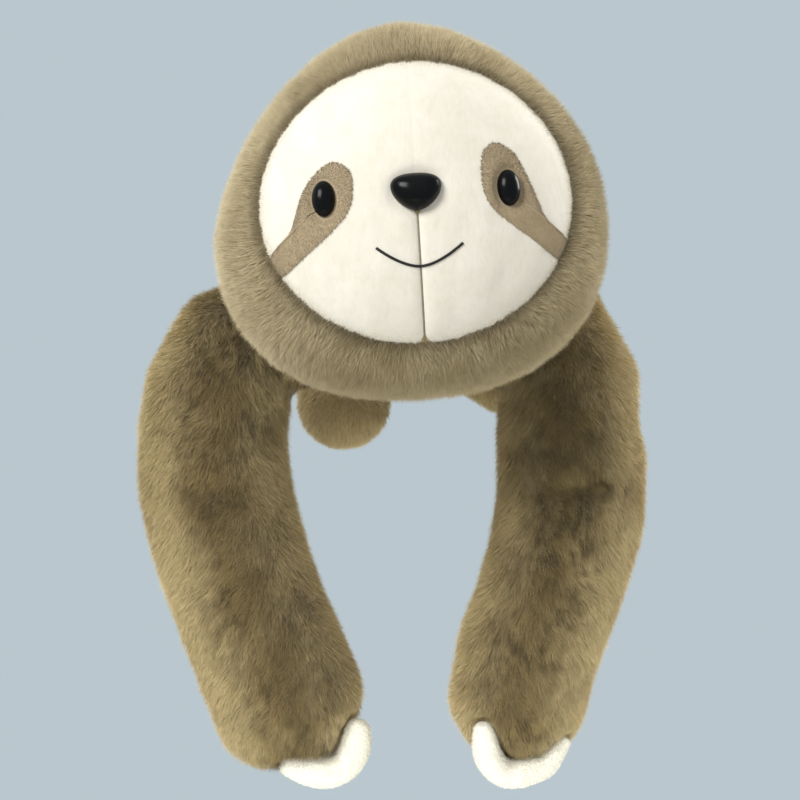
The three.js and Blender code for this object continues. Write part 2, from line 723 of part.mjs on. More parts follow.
function makeArm(groups, name, side, arm) {
  const form = armForm(side, arm);
  const { cover, filling } = coverAndFilling(form);
  const seatX = SHOULDER_X + GAP;
  const rootX = seatX + GUSSET_CLOTH + GAP;
  const beyond = (x) => block([0, -FAR, -FAR], [FAR, FAR, FAR]).translate([x, 0, 0]).scale([side, 1, 1]);
  const drumRoom = elbowDrum(roundDrum(ELBOW_RADIUS + GAP, ELBOW_FACETS));
  const upperRoom = beyond(rootX).subtract(elbowRoom()).subtract(drumRoom);
  const lowerRoom = block([-FAR, -FAR, -2 * FAR], [FAR, FAR, ELBOW_Z]).add(elbowDrum(ELBOW_RADIUS));
  piece(groups.upper, `${name}_upper_arm_cover`, cover.intersect(upperRoom), "fur");
  piece(groups.upper, `${name}_upper_arm_stuffing`, filling.intersect(upperRoom), "stuffing");
  piece(groups.lower, `${name}_forearm_cover`, cover.intersect(lowerRoom), "fur");

  const seat = shoulder(side).addScaledVector(outwards(side), GAP);
  const ring = rod(seat, outwards(side), GUSSET_CLOTH, GUSSET_OUTER, GUSSET_SIDES);
  const ringHole = rod(shoulder(side), outwards(side), 2 * GUSSET_CLOTH, GUSSET_INNER, HOLE_SIDES);
  piece(groups.gusset, `${name}_shoulder_gusset`, ring.subtract(ringHole), "fur");

  const middle = form.line.getPointAt(PAW_POUCH_PLACE);
  const along = form.line.getTangentAt(PAW_POUCH_PLACE);
  const pouch = (inset) => {
    const geometry = new THREE.SphereGeometry(1, PAW_POUCH_SIDES, PAW_POUCH_ROWS);
    const radius = PAW_POUCH_RADIUS - inset;
    geometry.scale(radius, PAW_POUCH_HALF_LENGTH - inset, radius);
    geometry.applyQuaternion(new THREE.Quaternion().setFromUnitVectors(BACK, along));
    return solidFrom(geometry.translate(middle.x, middle.y, middle.z));
  };
  const backwards = along.clone().negate();
  const channel = rod(middle, backwards, FAR, FILLING_CHANNEL, HOLE_SIDES);
  const mouth = rod(middle, backwards, FAR, PAW_POUCH_MOUTH, HOLE_SIDES);
  const forearmFilling = filling.intersect(lowerRoom).subtract(pouch(-GAP)).subtract(channel);
  piece(groups.lower, `${name}_forearm_stuffing`, forearmFilling, "stuffing");
  const pouchCloth = pouch(0).subtract(pouch(POUCH_CLOTH)).subtract(mouth);
  piece(groups.lower, `${name}_paw_pouch`, pouchCloth, "pouch");
  piece(groups.lower, `${name}_paw_beads`, pouch(POUCH_CLOTH + GAP), "beads");

  const paw = stuffedForm(form, -GAP);
  const split = (arm.outerClaw[0][0] + arm.innerClaw[0][0]) / 2;
  const outside = beyond(split + GAP / 2);
  const inside = beyond(split - GAP / 2);
  const outerClaw = clawSolid(side, arm.outerClaw, paw, outside);
  const whole = block([-FAR, -FAR, -FAR], [FAR, FAR, FAR]);
  const innerClaw = clawSolid(side, arm.innerClaw, paw, whole.subtract(inside));
  piece(groups.lower, `${name}_outer_claw`, outerClaw, "claw");
  piece(groups.lower, `${name}_inner_claw`, innerClaw, "claw");
}

// A toe, a long pod along a direction.
function clawPod(centre, lengthwise) {
  const geometry = new THREE.SphereGeometry(1, CLAW_SIDES, CLAW_SIDES / 2);
  geometry.scale(TOE_RADIUS, TOE_LENGTH / 2, TOE_RADIUS);
  geometry.applyQuaternion(new THREE.Quaternion().setFromUnitVectors(BACK, lengthwise));
  return solidFrom(geometry.translate(centre.x, centre.y, centre.z));
}

// Legs
function makeLeg(group, name, side, form) {
  const { cover, filling } = coverAndFilling(form);
  const inwards = new THREE.Vector3(-side, 0, HIP_HOLE_RISE);
  const hipHole = rod(hip(side), inwards, FAR, HIP_HOLE_RADIUS, HOLE_SIDES);
  piece(group, `${name}_leg_cover`, cover.subtract(hipHole), "fur");
  piece(group, `${name}_leg_stuffing`, filling, "stuffing");

  const grown = stuffedForm(form, -GAP);
  const foot = form.line.getPointAt(1 - FOOT_RADIUS / form.line.getLength());
  const along = form.line.getTangentAt(1);
  const beside = along.clone().cross(BACK).normalize();
  const turn = new THREE.Quaternion().setFromAxisAngle(beside, rad(TOE_TURN));
  const out = along.clone().applyQuaternion(turn);
  const lengthwise = BACK.clone().applyQuaternion(turn);
  for (const [place, step] of [["outer", 1], ["inner", -1]]) {
    const centre = foot.clone().addScaledVector(out, FOOT_RADIUS * TOE_PROUD);
    centre.addScaledVector(beside, -side * step * TOE_SPREAD);
    const toe = clawPod(centre, lengthwise).subtract(grown);
    piece(group, `${name}_${place}_toe`, toe, "claw");
  }
}

// The whole toy: each group holds what moves as one
const sloth = new THREE.Group();
const torso = new THREE.Group();
const neck = new THREE.Group();
const head = new THREE.Group();
head.position.copy(headPlace);
head.quaternion.copy(headTurn);
sloth.add(torso, neck, head);
makeTorso(torso);
makeNeckSeam(neck);
makeHead(head);
for (const [name, side, arm] of [["right", -1, RIGHT_ARM], ["left", 1, LEFT_ARM]]) {
  const groups = { gusset: new THREE.Group(), upper: new THREE.Group(), lower: new THREE.Group() };
  sloth.add(groups.gusset, groups.upper, groups.lower);
  makeArm(groups, name, side, arm);
  const leg = new THREE.Group();
  sloth.add(leg);
  makeLeg(leg, name, side, legForms[name]);
}

export default sloth;
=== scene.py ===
import math

import bmesh
import bpy
import numpy as np
from mathutils import Matrix, Vector, kdtree
from mathutils.bvhtree import BVHTree


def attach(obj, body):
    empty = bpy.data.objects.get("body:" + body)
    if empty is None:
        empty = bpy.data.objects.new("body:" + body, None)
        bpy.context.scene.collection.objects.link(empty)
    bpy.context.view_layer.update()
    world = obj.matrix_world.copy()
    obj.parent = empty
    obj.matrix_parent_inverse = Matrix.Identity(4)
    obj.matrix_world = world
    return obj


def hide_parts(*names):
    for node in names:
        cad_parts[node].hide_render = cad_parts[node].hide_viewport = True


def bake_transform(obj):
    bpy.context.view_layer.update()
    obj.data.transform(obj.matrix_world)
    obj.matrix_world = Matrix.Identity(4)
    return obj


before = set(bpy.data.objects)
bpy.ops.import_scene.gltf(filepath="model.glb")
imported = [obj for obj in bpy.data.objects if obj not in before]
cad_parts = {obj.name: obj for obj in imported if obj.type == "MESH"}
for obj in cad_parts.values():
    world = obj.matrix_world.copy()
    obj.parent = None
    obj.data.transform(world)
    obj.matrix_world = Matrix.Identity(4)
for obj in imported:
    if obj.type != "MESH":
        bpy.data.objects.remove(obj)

bl_info = {
    "name": "Weighted plush sloth",
    "version": (1, 0, 0),
    "blender": (4, 5, 0),
    "location": "View3D > Sidebar > Sloth",
    "description": "Padded skins, strands of fur, a puffed face and plush claws over the frame",
    "category": "Object",
}

SIDES = {"right": -1, "left": 1}

# Frames for which cloth is blown up, smoothing of filled grooves, and angle from which edges stay sharp
PUFF_FRAMES = 20
GROOVE_SMOOTHING = 6
SHARP_ANGLE = 1.0


def length(name, description, default):
    """A size in metres."""
    return bpy.props.FloatProperty(
        name=name, description=description, default=default, unit="LENGTH", precision=5
    )


def share(name, description, default):
    """A plain number."""
    return bpy.props.FloatProperty(name=name, description=description, default=default)


def count(name, description, default):
    """A whole number."""
    return bpy.props.IntProperty(name=name, description=description, default=default)


def colour(name, description, red, green, blue):
    """A colour, given as it shows on a screen from 0 to 255 and kept as linear light."""
    light = linear(red, green, blue)
    return bpy.props.FloatVectorProperty(
        name=name, description=description, subtype="COLOR", size=3, min=0, max=1, default=light
    )


def linear(red, green, blue):
    """Screen values from 0 to 255 as linear light from 0 to 1."""
    shown = [v / 255 for v in (red, green, blue)]
    return tuple(((v + 0.055) / 1.055) ** 2.4 if v > 0.04 else v / 12.92 for v in shown)


class SlothSkinSizes(bpy.types.PropertyGroup):
    """The stuffed forms under the fur."""

    voxel: length("Voxel", "Grid of the remeshed skins", 0.005)
    smoothing: count("Smoothing", "Smoothing steps on the stuffed forms", 14)
    pressure: share("Pressure", "Pressure that puffs the stuffed forms out", 4.0)
    puff_limit: length("Puff limit", "How far the pressure may move a point", 0.004)
    elbow_groove: length("Elbow groove", "Half the widest groove of an arm that its skin fills", 0.010)
    claw_voxel: length("Claw voxel", "Grid of the remeshed claws", 0.0022)
    claw_smoothing: count("Claw smoothing", "Smoothing steps on the claws", 6)
    claw_puff: length("Claw puff", "How far the pressure may move a point of a claw", 0.001)
    toe_voxel: length("Toe voxel", "Grid of the remeshed toes", 0.0024)
    toe_smoothing: count("Toe smoothing", "Smoothing steps on the toes", 5)
    toe_puff: length("Toe puff", "How far the pressure may move a point of a toe", 0.0012)


class SlothFurSizes(bpy.types.PropertyGroup):
    """The pile: lengths, widths and counts."""

    head_length: length("Head pile", "Length of the fur on the head", 0.0142)
    arm_length: length("Arm pile", "Length of the fur on the arms", 0.0140)
    body_length: length("Body pile", "Length of the fur on the body and legs", 0.0125)
    patch_length: length("Patch pile", "Length of the short pile round the eyes", 0.0024)
    claw_depth: length("Claw depth", "Farthest that a place inside a claw lies from its skin", 0.016)
    claw_length: length("Claw pile", "Length of the short pile on the claws", 0.003)
    face_length: length("Face pile", "Length of the short pile on the face's border", 0.0028)
    head_strands: count("Head strands", "Strands of fur on the head", 300000)
    arm_strands: count("Arm strands", "Strands of fur on each arm", 230000)
    torso_strands: count("Body strands", "Strands of fur on the body", 90000)
    leg_strands: count("Leg strands", "Strands of fur on each leg", 30000)
    patch_strands: count("Patch strands", "Strands round each eye", 9000)
    claw_strands: count("Claw strands", "Strands on each claw", 7000)
    face_strands: count("Face strands", "Strands on the border of each half of the face", 12000)
    seed: count("Seed", "Start of every random choice", 11)


class SlothColours(bpy.types.PropertyGroup):
    """Colours of the fur and the face."""

    # Tip, middle and root are the pile's own tone, with the tips painted lighter as painted light that the
    # tips catch, and the roots darker as painted shade deep in the pile.
    tip: colour("Tip", "Tips of the fur", 232, 220, 186)
    middle: colour("Middle", "Body of the fur", 204, 189, 150)
    root: colour("Root", "Roots of the fur", 132, 113, 74)
    # The same for the body and limbs: lighter tips are painted light and darker roots are painted shade,
    # over the pile's own tone.
    limb_tip: colour("Limb tip", "Tips of the fur on the body and limbs", 226, 209, 160)
    limb_middle: colour("Limb middle", "Body of the fur on the body and limbs", 172, 153, 104)
    limb_root: colour("Limb root", "Roots of the fur on the body and limbs", 92, 73, 38)
    # Dark colour in the gaps down the arms, partly dye and partly painted shade between the tufts; it also
    # paints the painted shade round the face's border.
    dye_and_shade_dark: colour("Crevice", "Dark gaps between the tufts down the arms", 74, 58, 26)
    face: colour("Face", "Short cream plush of the face", 250, 246, 234)
    # A warmer, darker tone in the hollows of the face plush: partly its own tone, partly painted shade.
    face_shade: colour("Face shade", "Hollows in the face plush", 240, 235, 219)
    # Grey of the tube down the face's seam: partly the seam, partly painted shade in its crease.
    seam: colour("Seam", "Crease down the middle of the face", 136, 127, 112)
    patch: colour("Patch", "Short brown plush round the eyes", 200, 182, 150)
    claw: colour("Claw", "White plush of the claws", 252, 250, 238)
    gloss: colour("Gloss", "Eyes and nose", 8, 7, 7)
    thread: colour("Thread", "Mouth and seams", 24, 20, 18)


class SlothFaceSizes(bpy.types.PropertyGroup):
    """The face, laid out from its own middle, right and up."""

    shift: length("Shift", "Middle of the face beside the head's middle", 0.005)
    rise: length("Rise", "Middle of the face above the head's middle", 0.018)
    half_width: length("Half width", "Half of the face's width", 0.1245)
    half_height: length("Half height", "Half of the face's height", 0.1115)
    lift: length("Lift", "How far the face stands off the head", 0.0042)
    edge: length("Edge", "How wide the face's rounded border is", 0.007)
    overlap: length("Overlap", "How far the face's cloth reaches past its outline", 0.0025)
    panel_wall: length("Panel wall", "Thickness of the face's cloth", 0.0012)
    patch_wall: length("Patch wall", "Thickness of the cloth round the eyes", 0.001)
    seam_depth: length("Seam depth", "How far the middle seam is drawn in", 0.0030)
    seam_width: length("Seam width", "How wide the drawn-in part is", 0.0034)
    eye_spread: length("Eye spread", "Eye centres from the middle line", 0.0722)
    eye_rise: length("Eye rise", "Eye centres above the face's middle", 0.004)
    eye_width: length("Eye width", "Width of an eye", 0.0191)
    eye_height: length("Eye height", "Height of an eye", 0.029)
    eye_depth: length("Eye depth", "How far an eye stands out", 0.009)
    eye_sink: length("Eye sink", "How far an eye is set into the face", 0.0022)
    nose_rise: length("Nose rise", "Nose above the face's middle", 0.0043)
    nose_width: length("Nose width", "Width of the nose", 0.0382)
    nose_height: length("Nose height", "Height of the nose", 0.0296)
    nose_depth: length("Nose depth", "How far the nose stands out", 0.013)
    nose_sink: length("Nose sink", "How far the nose is set into the face", 0.0024)
    nose_taper: share("Nose taper", "How much wider the nose is above than in its middle", 0.26)
    nose_brow: share("Nose brow", "How square the nose's upper half is, 2 for round", 2.35)
    mouth_half_width: length("Mouth half width", "Half of the mouth's width", 0.0336)
    mouth_top: length("Mouth top", "Height of the mouth's ends", -0.0375)
    mouth_bottom: length("Mouth bottom", "Height of the mouth's middle", -0.0535)
    mouth_curl: share("Mouth curl", "How evenly the mouth bends", 1.7)
    thread_radius: length("Thread radius", "Radius of the mouth thread", 0.00115)
    seam_radius: length("Seam radius", "Radius of the crease down the face", 0.0010)


class SlothStage(bpy.types.PropertyGroup):
    """Camera, lamps and backdrop."""

    camera_x: length("Camera X", "Camera sideways", 0.0075)
    camera_y: length("Camera Y", "Camera in front", -1.46)
    camera_z: length("Camera Z", "Camera height", -0.010)
    span: length("Span", "Width in view at the face", 0.68)
    span_distance: length("Span distance", "Distance at which the span is measured", 1.3)
    floor: length("Floor", "Height of the floor", -0.90)
    floor_radius: length("Floor radius", "Where the floor has faded into the backdrop", 1.85)
    backdrop: colour("Backdrop", "Colour behind the object", 186, 199, 206)
    floor_colour: colour("Floor colour", "Colour of the floor", 214, 216, 214)
    sky: share("Sky", "Strength of the even light", 0.5)
    key: share("Key", "Power of the key lamp", 33.0)
    low: share("Low", "Power of the low lamp in front", 0.85)
    rim: share("Rim", "Power of the lamp beside", 27.0)


# Meshes


def points_of(mesh):
    """A mesh's vertex places as rows of three numbers."""
    places = np.empty(len(mesh.vertices) * 3)
    mesh.vertices.foreach_get("co", places)
    return places.reshape(-1, 3)


def set_points(mesh, places):
    """Moves a mesh's vertices to those places."""
    mesh.vertices.foreach_set("co", places.ravel())
    mesh.update()


def link(name, data):
    """An object with that data, in the scene."""
    obj = bpy.data.objects.new(name, data)
    bpy.context.scene.collection.objects.link(obj)
    return obj


def new_object(name, bm):
    """An object with that mesh, at the origin."""
    mesh = bpy.data.meshes.new(name)
    put_back(bm, mesh)
    return link(name, mesh)


def opened(obj):
    """An object's mesh, ready to be edited or searched."""
    bm = bmesh.new()
    bm.from_mesh(obj.data)
    return bm


def put_back(bm, mesh):
    """Ends the editing of a mesh and keeps the result."""
    bm.to_mesh(mesh)
    bm.free()


def tree_of(obj):
    """A search tree of an object's faces."""
    bm = opened(obj)
    tree = BVHTree.FromBMesh(bm)
    bm.free()
    return tree


def apply_modifiers(obj):
    """Puts what the modifiers make into the mesh."""
    graph = bpy.context.evaluated_depsgraph_get()
    mesh = bpy.data.meshes.new_from_object(obj.evaluated_get(graph))
    obj.modifiers.clear()
    obj.data = mesh
    mesh.name = obj.name


def smooth_shading(mesh):
    """Shades every face smooth."""
    mesh.polygons.foreach_set("use_smooth", np.ones(len(mesh.polygons), bool))


def keep_outer(obj):
    """Removes the walls that a remesh leaves inside a form."""
    bm = opened(obj)
    left = set(bm.verts)
    islands = []
    while left:
        queue = [left.pop()]
        island = list(queue)
        while queue:
            for edge in queue.pop().link_edges:
                for vert in edge.verts:
                    if vert in left:
                        left.remove(vert)
                        queue.append(vert)
                        island.append(vert)
        islands.append(island)
    islands.sort(key=len)
    for island in islands[:-1]:
        bmesh.ops.delete(bm, geom=island, context="VERTS")
    bmesh.ops.recalc_face_normals(bm, faces=bm.faces)
    put_back(bm, obj.data)


def normals_of(mesh):
    """A mesh's vertex normals as rows of three numbers."""
    normals = np.empty(len(mesh.vertices) * 3)
    mesh.vertex_normals.foreach_get("vector", normals)
    return normals.reshape(-1, 3)


def even_out(obj, voxel, smoothing):
    """Turns a mesh into one even closed skin."""
    remesh = obj.modifiers.new("Remesh", "REMESH")
    remesh.mode = "VOXEL"
    remesh.voxel_size = voxel
    smooth = obj.modifiers.new("Smooth", "SMOOTH")
    smooth.factor = 0.5
    smooth.iterations = smoothing
    apply_modifiers(obj)
    keep_outer(obj)


def remeshed(name, nodes, voxel, smoothing):
    """One closed skin round some nodes of the frame."""
    bm = bmesh.new()
    for node in nodes:
        bm.from_mesh(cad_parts[node].data)
    bmesh.ops.remove_doubles(bm, verts=bm.verts, dist=1e-6)
    obj = new_object(name, bm)
    even_out(obj, voxel, smoothing)
    return obj


def puff(obj, pressure, limit):
    scene = bpy.context.scene
    before = points_of(obj.data)
    cloth = obj.modifiers.new("Cloth", "CLOTH")
    settings = cloth.settings
    settings.quality = 5
    settings.mass = 0.3
    settings.tension_stiffness = 12
    settings.compression_stiffness = 12
    settings.shear_stiffness = 6
    settings.bending_stiffness = 0.6
    settings.use_pressure = True
    settings.uniform_pressure_force = pressure
    settings.effector_weights.gravity = 0
    cloth.point_cache.frame_start = 1
    cloth.point_cache.frame_end = PUFF_FRAMES
    for step in range(1, PUFF_FRAMES + 1):
        scene.frame_set(step)
    graph = bpy.context.evaluated_depsgraph_get()
    after = points_of(obj.evaluated_get(graph).data)
    obj.modifiers.clear()
    scene.frame_set(1)
    move = after - before
    far = np.linalg.norm(move, axis=1, keepdims=True)
    move *= np.minimum(1, limit / np.maximum(far, 1e-9))
    set_points(obj.data, before + move)


def fill_grooves(obj, reach, voxel):
    """Fills grooves up to twice as wide as a reach: swells a skin, evens it out and draws it in again."""
    set_points(obj.data, points_of(obj.data) + reach * normals_of(obj.data))
    even_out(obj, voxel, GROOVE_SMOOTHING)
    set_points(obj.data, points_of(obj.data) - reach * normals_of(obj.data))


def padded_skin(name, nodes, sizes, groove=0.0):
    """A stuffed skin round some nodes: remeshed, puffed and subdivided."""
    obj = remeshed(name, nodes, sizes.voxel, sizes.smoothing)
    if groove:
        fill_grooves(obj, groove, sizes.voxel)
    puff(obj, sizes.pressure, sizes.puff_limit)
    finer = obj.modifiers.new("Finer", "SUBSURF")
    finer.levels = finer.render_levels = 1
    apply_modifiers(obj)
    smooth_shading(obj.data)
    return obj


# Shader nodes


class Sum:
    """A shader value that can be added and multiplied like a number."""

    def __init__(self, tree, value):
        self.tree = tree
        self.value = value

    def maths(self, operation, *values):
        node = self.tree.nodes.new("ShaderNodeMath")
        node.operation = operation
        for socket, value in zip(node.inputs, values):
            put(self.tree, socket, value)
        return Sum(self.tree, node.outputs[0])

    def __add__(self, other):
        return self.maths("ADD", self, other)

    __radd__ = __add__

    def __mul__(self, other):
        return self.maths("MULTIPLY", self, other)

    __rmul__ = __mul__

    def between(self, low, high):
        """0 at low, 1 at high and smooth in between."""
        node = self.tree.nodes.new("ShaderNodeMapRange")
        node.interpolation_type = "SMOOTHSTEP"
        put(self.tree, node.inputs["Value"], self)
        node.inputs["From Min"].default_value = low
        node.inputs["From Max"].default_value = high
        return Sum(self.tree, node.outputs["Result"])


def put(tree, socket, value):
    """Links a value to a socket, or sets it there if it is plain."""
    if isinstance(value, Sum):
        value = value.value
    if isinstance(value, bpy.types.NodeSocket):
        tree.links.new(value, socket)
    elif isinstance(value, (int, float)):
        socket.default_value = value
    else:
        socket.default_value = (*value, 1.0)[: len(socket.default_value)]


class Finish:
    """A material with one Principled shader."""

    def __init__(self, name, base=(0.5, 0.5, 0.5), roughness=0.8, **settings):
        self.material = bpy.data.materials.new(name)
        self.material.use_nodes = True
        self.tree = self.material.node_tree
        self.shader = self.tree.nodes["Principled BSDF"]
        self.set("Base Color", base)
        self.set("Roughness", roughness)
        for socket, value in settings.items():
            self.set(socket.replace("_", " "), value)

    def set(self, socket, value):
        put(self.tree, self.shader.inputs[socket], value)

    def node(self, kind, output, settings=None, **inputs):
        """Any other node: its settings, its inputs by name, and the output that is wanted."""
        node = self.tree.nodes.new(kind)
        for key, value in (settings or {}).items():
            setattr(node, key, value)
        for name, value in inputs.items():
            put(self.tree, node.inputs[name.replace("_", " ")], value)
        return Sum(self.tree, node.outputs[output])

    def place(self):
        return self.node("ShaderNodeTexCoord", "Object")

    def noise(self, scale, detail=3.0, roughness=0.5, stretch=None):
        where = self.place()
        if stretch:
            where = self.node("ShaderNodeMapping", "Vector", Vector=where)
            where.value.node.inputs["Scale"].default_value = stretch
        return self.node(
            "ShaderNodeTexNoise", "Fac", Vector=where, Scale=scale, Detail=detail, Roughness=roughness
        )

    def wave(self, scale, direction="X"):
        bands = {"bands_direction": direction}
        return self.node("ShaderNodeTexWave", "Fac", bands, Vector=self.place(), Scale=scale)

    def mix(self, factor, first, second, blend="MIX"):
        """Two colours mixed by a factor."""
        node = self.tree.nodes.new("ShaderNodeMix")
        node.data_type = "RGBA"
        node.blend_type = blend
        put(self.tree, node.inputs["Factor"], factor)
        put(self.tree, node.inputs[6], first)
        put(self.tree, node.inputs[7], second)
        return Sum(self.tree, node.outputs[2])

    def bump(self, height, strength, distance):
        normal = self.node("ShaderNodeBump", "Normal", Height=height, Strength=strength, Distance=distance)
        self.set("Normal", normal)


def mottled(name, grain, dark, light, bump, low=0.3, high=0.7, **settings):
    """A finish in two tones that a noise mixes and raises: bump holds its strength and height."""
    made = Finish(name, **settings)
    spots = made.noise(*grain)
    made.set("Base Color", made.mix(spots.between(low, high), dark, light))
    made.bump(spots, *bump)


def strand_finish(name, grain, dark, roughness, **settings):
    """A finish of strands, in the colours that they carry."""
    made = Finish(name, **settings)
    spots = made.noise(*grain)
    tint = made.mix(spots.between(0.3, 0.7), dark, (1.0, 1.0, 1.0))
    own = made.node("ShaderNodeAttribute", "Color", {"attribute_name": "Pile"})
    made.set("Base Color", made.mix(1.0, own, tint, "MULTIPLY"))
    made.set("Roughness", roughness + 0.2 * spots)


def toned(colour, tone):
    """A colour made darker or lighter."""
    return [min(1.0, tone * v) for v in colour]


def finishes():
    """Every material of the toy, made once."""
    if "Fur" in bpy.data.materials:
        return
    c = bpy.context.scene.sloth_colours

    sheen = {"Sheen_Weight": 0.25, "Sheen_Roughness": 0.5, "Specular_IOR_Level": 0.3}
    strand_finish("Fur", (160, 4), (0.86, 0.84, 0.80), 0.55, **sheen)
    strand_finish("White pile", (220, 3), (0.96, 0.955, 0.94), 0.75, Sheen_Weight=0.3)
    sheen = {"roughness": 0.9, "Sheen_Weight": 0.2}
    mottled("Patch plush", (1000, 3), toned(c.patch, 0.75), c.patch, (0.5, 0.001), **sheen)
    sheen = {"roughness": 0.85, "Sheen_Weight": 0.3}
    mottled("Claw plush", (1000, 3), toned(c.claw, 0.86), c.claw, (0.5, 0.001), 0.25, 0.6, **sheen)
    # The seam tube is grey: partly the seam, partly painted shade in its crease.
    mottled("Face seam shade", (300, 3), c.seam, toned(c.seam, 1.25), (0.5, 0.0006), 0.35, 0.65, roughness=0.9)
    greys = ((0.72, 0.72, 0.70), (0.92, 0.92, 0.91))
    mottled("Polyester fibre", (260, 6, 0.7), *greys, (0.8, 0.003), roughness=0.9)

    skin = Finish("Fur backing", roughness=0.95)
    knit = skin.noise(700, 2)
    slow = skin.noise(60)
    # The backing is painted from the root colour and a darkened middle, as painted shade between the
    # strands.
    skin.set("Base Color", skin.mix(slow.between(0.3, 0.7), c.root, toned(c.middle, 0.75)))
    skin.bump(knit, 0.6, 0.0006)

    face = Finish("Face plush", roughness=0.85, Sheen_Weight=0.35, Sheen_Roughness=0.6)
    fine = face.noise(1100, 3, 0.7)
    strokes = face.noise(230, 4, 0.62, stretch=(1.0, 1.0, 0.45))
    broad = face.noise(34, 4, 0.55)
    # The hollows are painted warmer and darker: partly the plush's own tone, partly painted shade.
    hollow_tone_and_shade = strokes.between(0.62, 0.28) * 0.5 + broad.between(0.66, 0.4) * 0.5
    face.set("Base Color", face.mix(hollow_tone_and_shade, c.face, c.face_shade))
    face.set("Roughness", 0.8 + 0.15 * fine)
    face.bump(fine * 0.25 + strokes * 0.4 + broad * 0.9, 0.4, 0.0020)

    gloss = Finish("Gloss black", c.gloss, 0.2, Specular_IOR_Level=0.16)
    gloss.set("Roughness", 0.16 + 0.1 * gloss.noise(55))
    gloss.set("Base Color", gloss.mix(gloss.noise(40, 1).between(0.5, 0.75), c.gloss, toned(c.gloss, 2.2)))

    thread = Finish("Thread", c.thread, 0.7)
    twist = thread.wave(420.0, "DIAGONAL")
    thread.set("Base Color", thread.mix(twist, c.thread, toned(c.thread, 2.4)))
    thread.bump(twist, 0.7, 0.0004)

    cloth = Finish("Pouch cloth", roughness=0.85)
    weave = cloth.wave(620.0) * cloth.wave(620.0, "Z")
    cloth.set("Base Color", cloth.mix(weave, (0.62, 0.60, 0.55), (0.80, 0.78, 0.73)))
    cloth.bump(weave, 0.5, 0.0004)

    beads = Finish("Glass beads", roughness=0.15)
    cells = beads.node("ShaderNodeTexVoronoi", "Distance", Vector=beads.place(), Scale=900.0)
    # Each bead is lighter in its middle and darker where it meets its neighbours: painted shade between the
    # beads.
    beads.set("Base Color", beads.mix(cells, (0.86, 0.90, 0.92), (0.45, 0.52, 0.56)))
    beads.bump(cells, 0.9, -0.0006)

    plastic = Finish("Washer plastic", roughness=0.4)
    plastic.set("Base Color", plastic.mix(plastic.noise(120, 2), (0.72, 0.72, 0.70), (0.82, 0.82, 0.80)))
    plastic.bump(plastic.noise(900, 2), 0.15, 0.0002)


FINISH_OF_SLOT = {
    "long_plush": "Fur backing",
    "face_plush": "Face plush",
    "patch_plush": "Patch plush",
    "claw_plush": "Claw plush",
    "gloss_black": "Gloss black",
    "washer_plastic": "Washer plastic",
    "thread": "Thread",
    "stuffing": "Polyester fibre",
    "pouch_cloth": "Pouch cloth",
    "glass_beads": "Glass beads",
}


def finish_piece(obj, slot, finish=None):
    """Gives a piece the material of its slot, or the finish given."""
    obj.data.materials.clear()
    obj.data.materials.append(bpy.data.materials[finish or FINISH_OF_SLOT[slot]])


def dress(obj, slot, body, *nodes, finish=None):
    """Finishes a piece, fixes it to its body and puts it in the place of some nodes of the frame."""
    finish_piece(obj, slot, finish)
    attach(obj, body)
    if nodes:
        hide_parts(*nodes)


# The head's own frame


HEAD_CENTRE = Vector((0.0165, -0.160, 0.130))
HEAD_TURN = Matrix.Rotation(math.radians(-3.6), 3, "Y")
TO_HEAD = np.array(HEAD_TURN)


def in_head(places):
    """Places in the head's own frame, from its middle: right, back and up."""
    return (places - np.array(HEAD_CENTRE)) @ TO_HEAD


def from_head(places):
    """Places in the shared frame from the head's own frame."""
    return places @ TO_HEAD.T + np.array(HEAD_CENTRE)


def on_face(places, face):
    """Places as seen on the face: right and up from its middle."""
    local = in_head(places)
    return np.stack([local[:, 0] - face.shift, local[:, 2] - face.rise], axis=1)


def outline_share(flat, face):
    """How far places on the face lie from its middle, as a share of its outline."""
    return np.hypot(flat[:, 0] / face.half_width, flat[:, 1] / face.half_height)


def face_share(places, face):
    """The same for places in the shared frame."""
    return outline_share(on_face(places, face), face)


def from_face(places, face):
    """Directions away from the face's middle, in the head's frame."""
    flat = on_face(places, face)
    return unit(np.stack([flat[:, 0], 0 * flat[:, 0], flat[:, 1]], axis=1))


class HeadFront:
    """The front of the finished head skin, asked for its place and slope."""

    def __init__(self, skin):
        self.tree = tree_of(skin)
        self.ahead = HEAD_TURN @ Vector((0, 1, 0))
        self.face = bpy.context.scene.sloth_face

    def at(self, right, up):
        """The place on the skin and the direction out of it, in the head's frame, at a place on the face."""
        start = HEAD_CENTRE + HEAD_TURN @ Vector((right + self.face.shift, -0.3, up + self.face.rise))
        hit, normal, _, _ = self.tree.ray_cast(start, self.ahead)
        back = HEAD_TURN.transposed()
        return back @ (hit - HEAD_CENTRE), back @ normal

    def lifted(self, flat, lift):
        """Flat places (right, up from the face's middle) laid on the skin and lifted off it."""
        laid = np.empty((len(flat), 3))
        for i, (right, up) in enumerate(flat):
            place, normal = self.at(right, up)
            laid[i] = place + normal * lift[i]
        return from_head(laid)


def below_the_nose(up, face):
    """0 above the nose, 1 below it."""
    return np.clip((face.nose_rise - up) / 0.012, 0.0, 1.0)


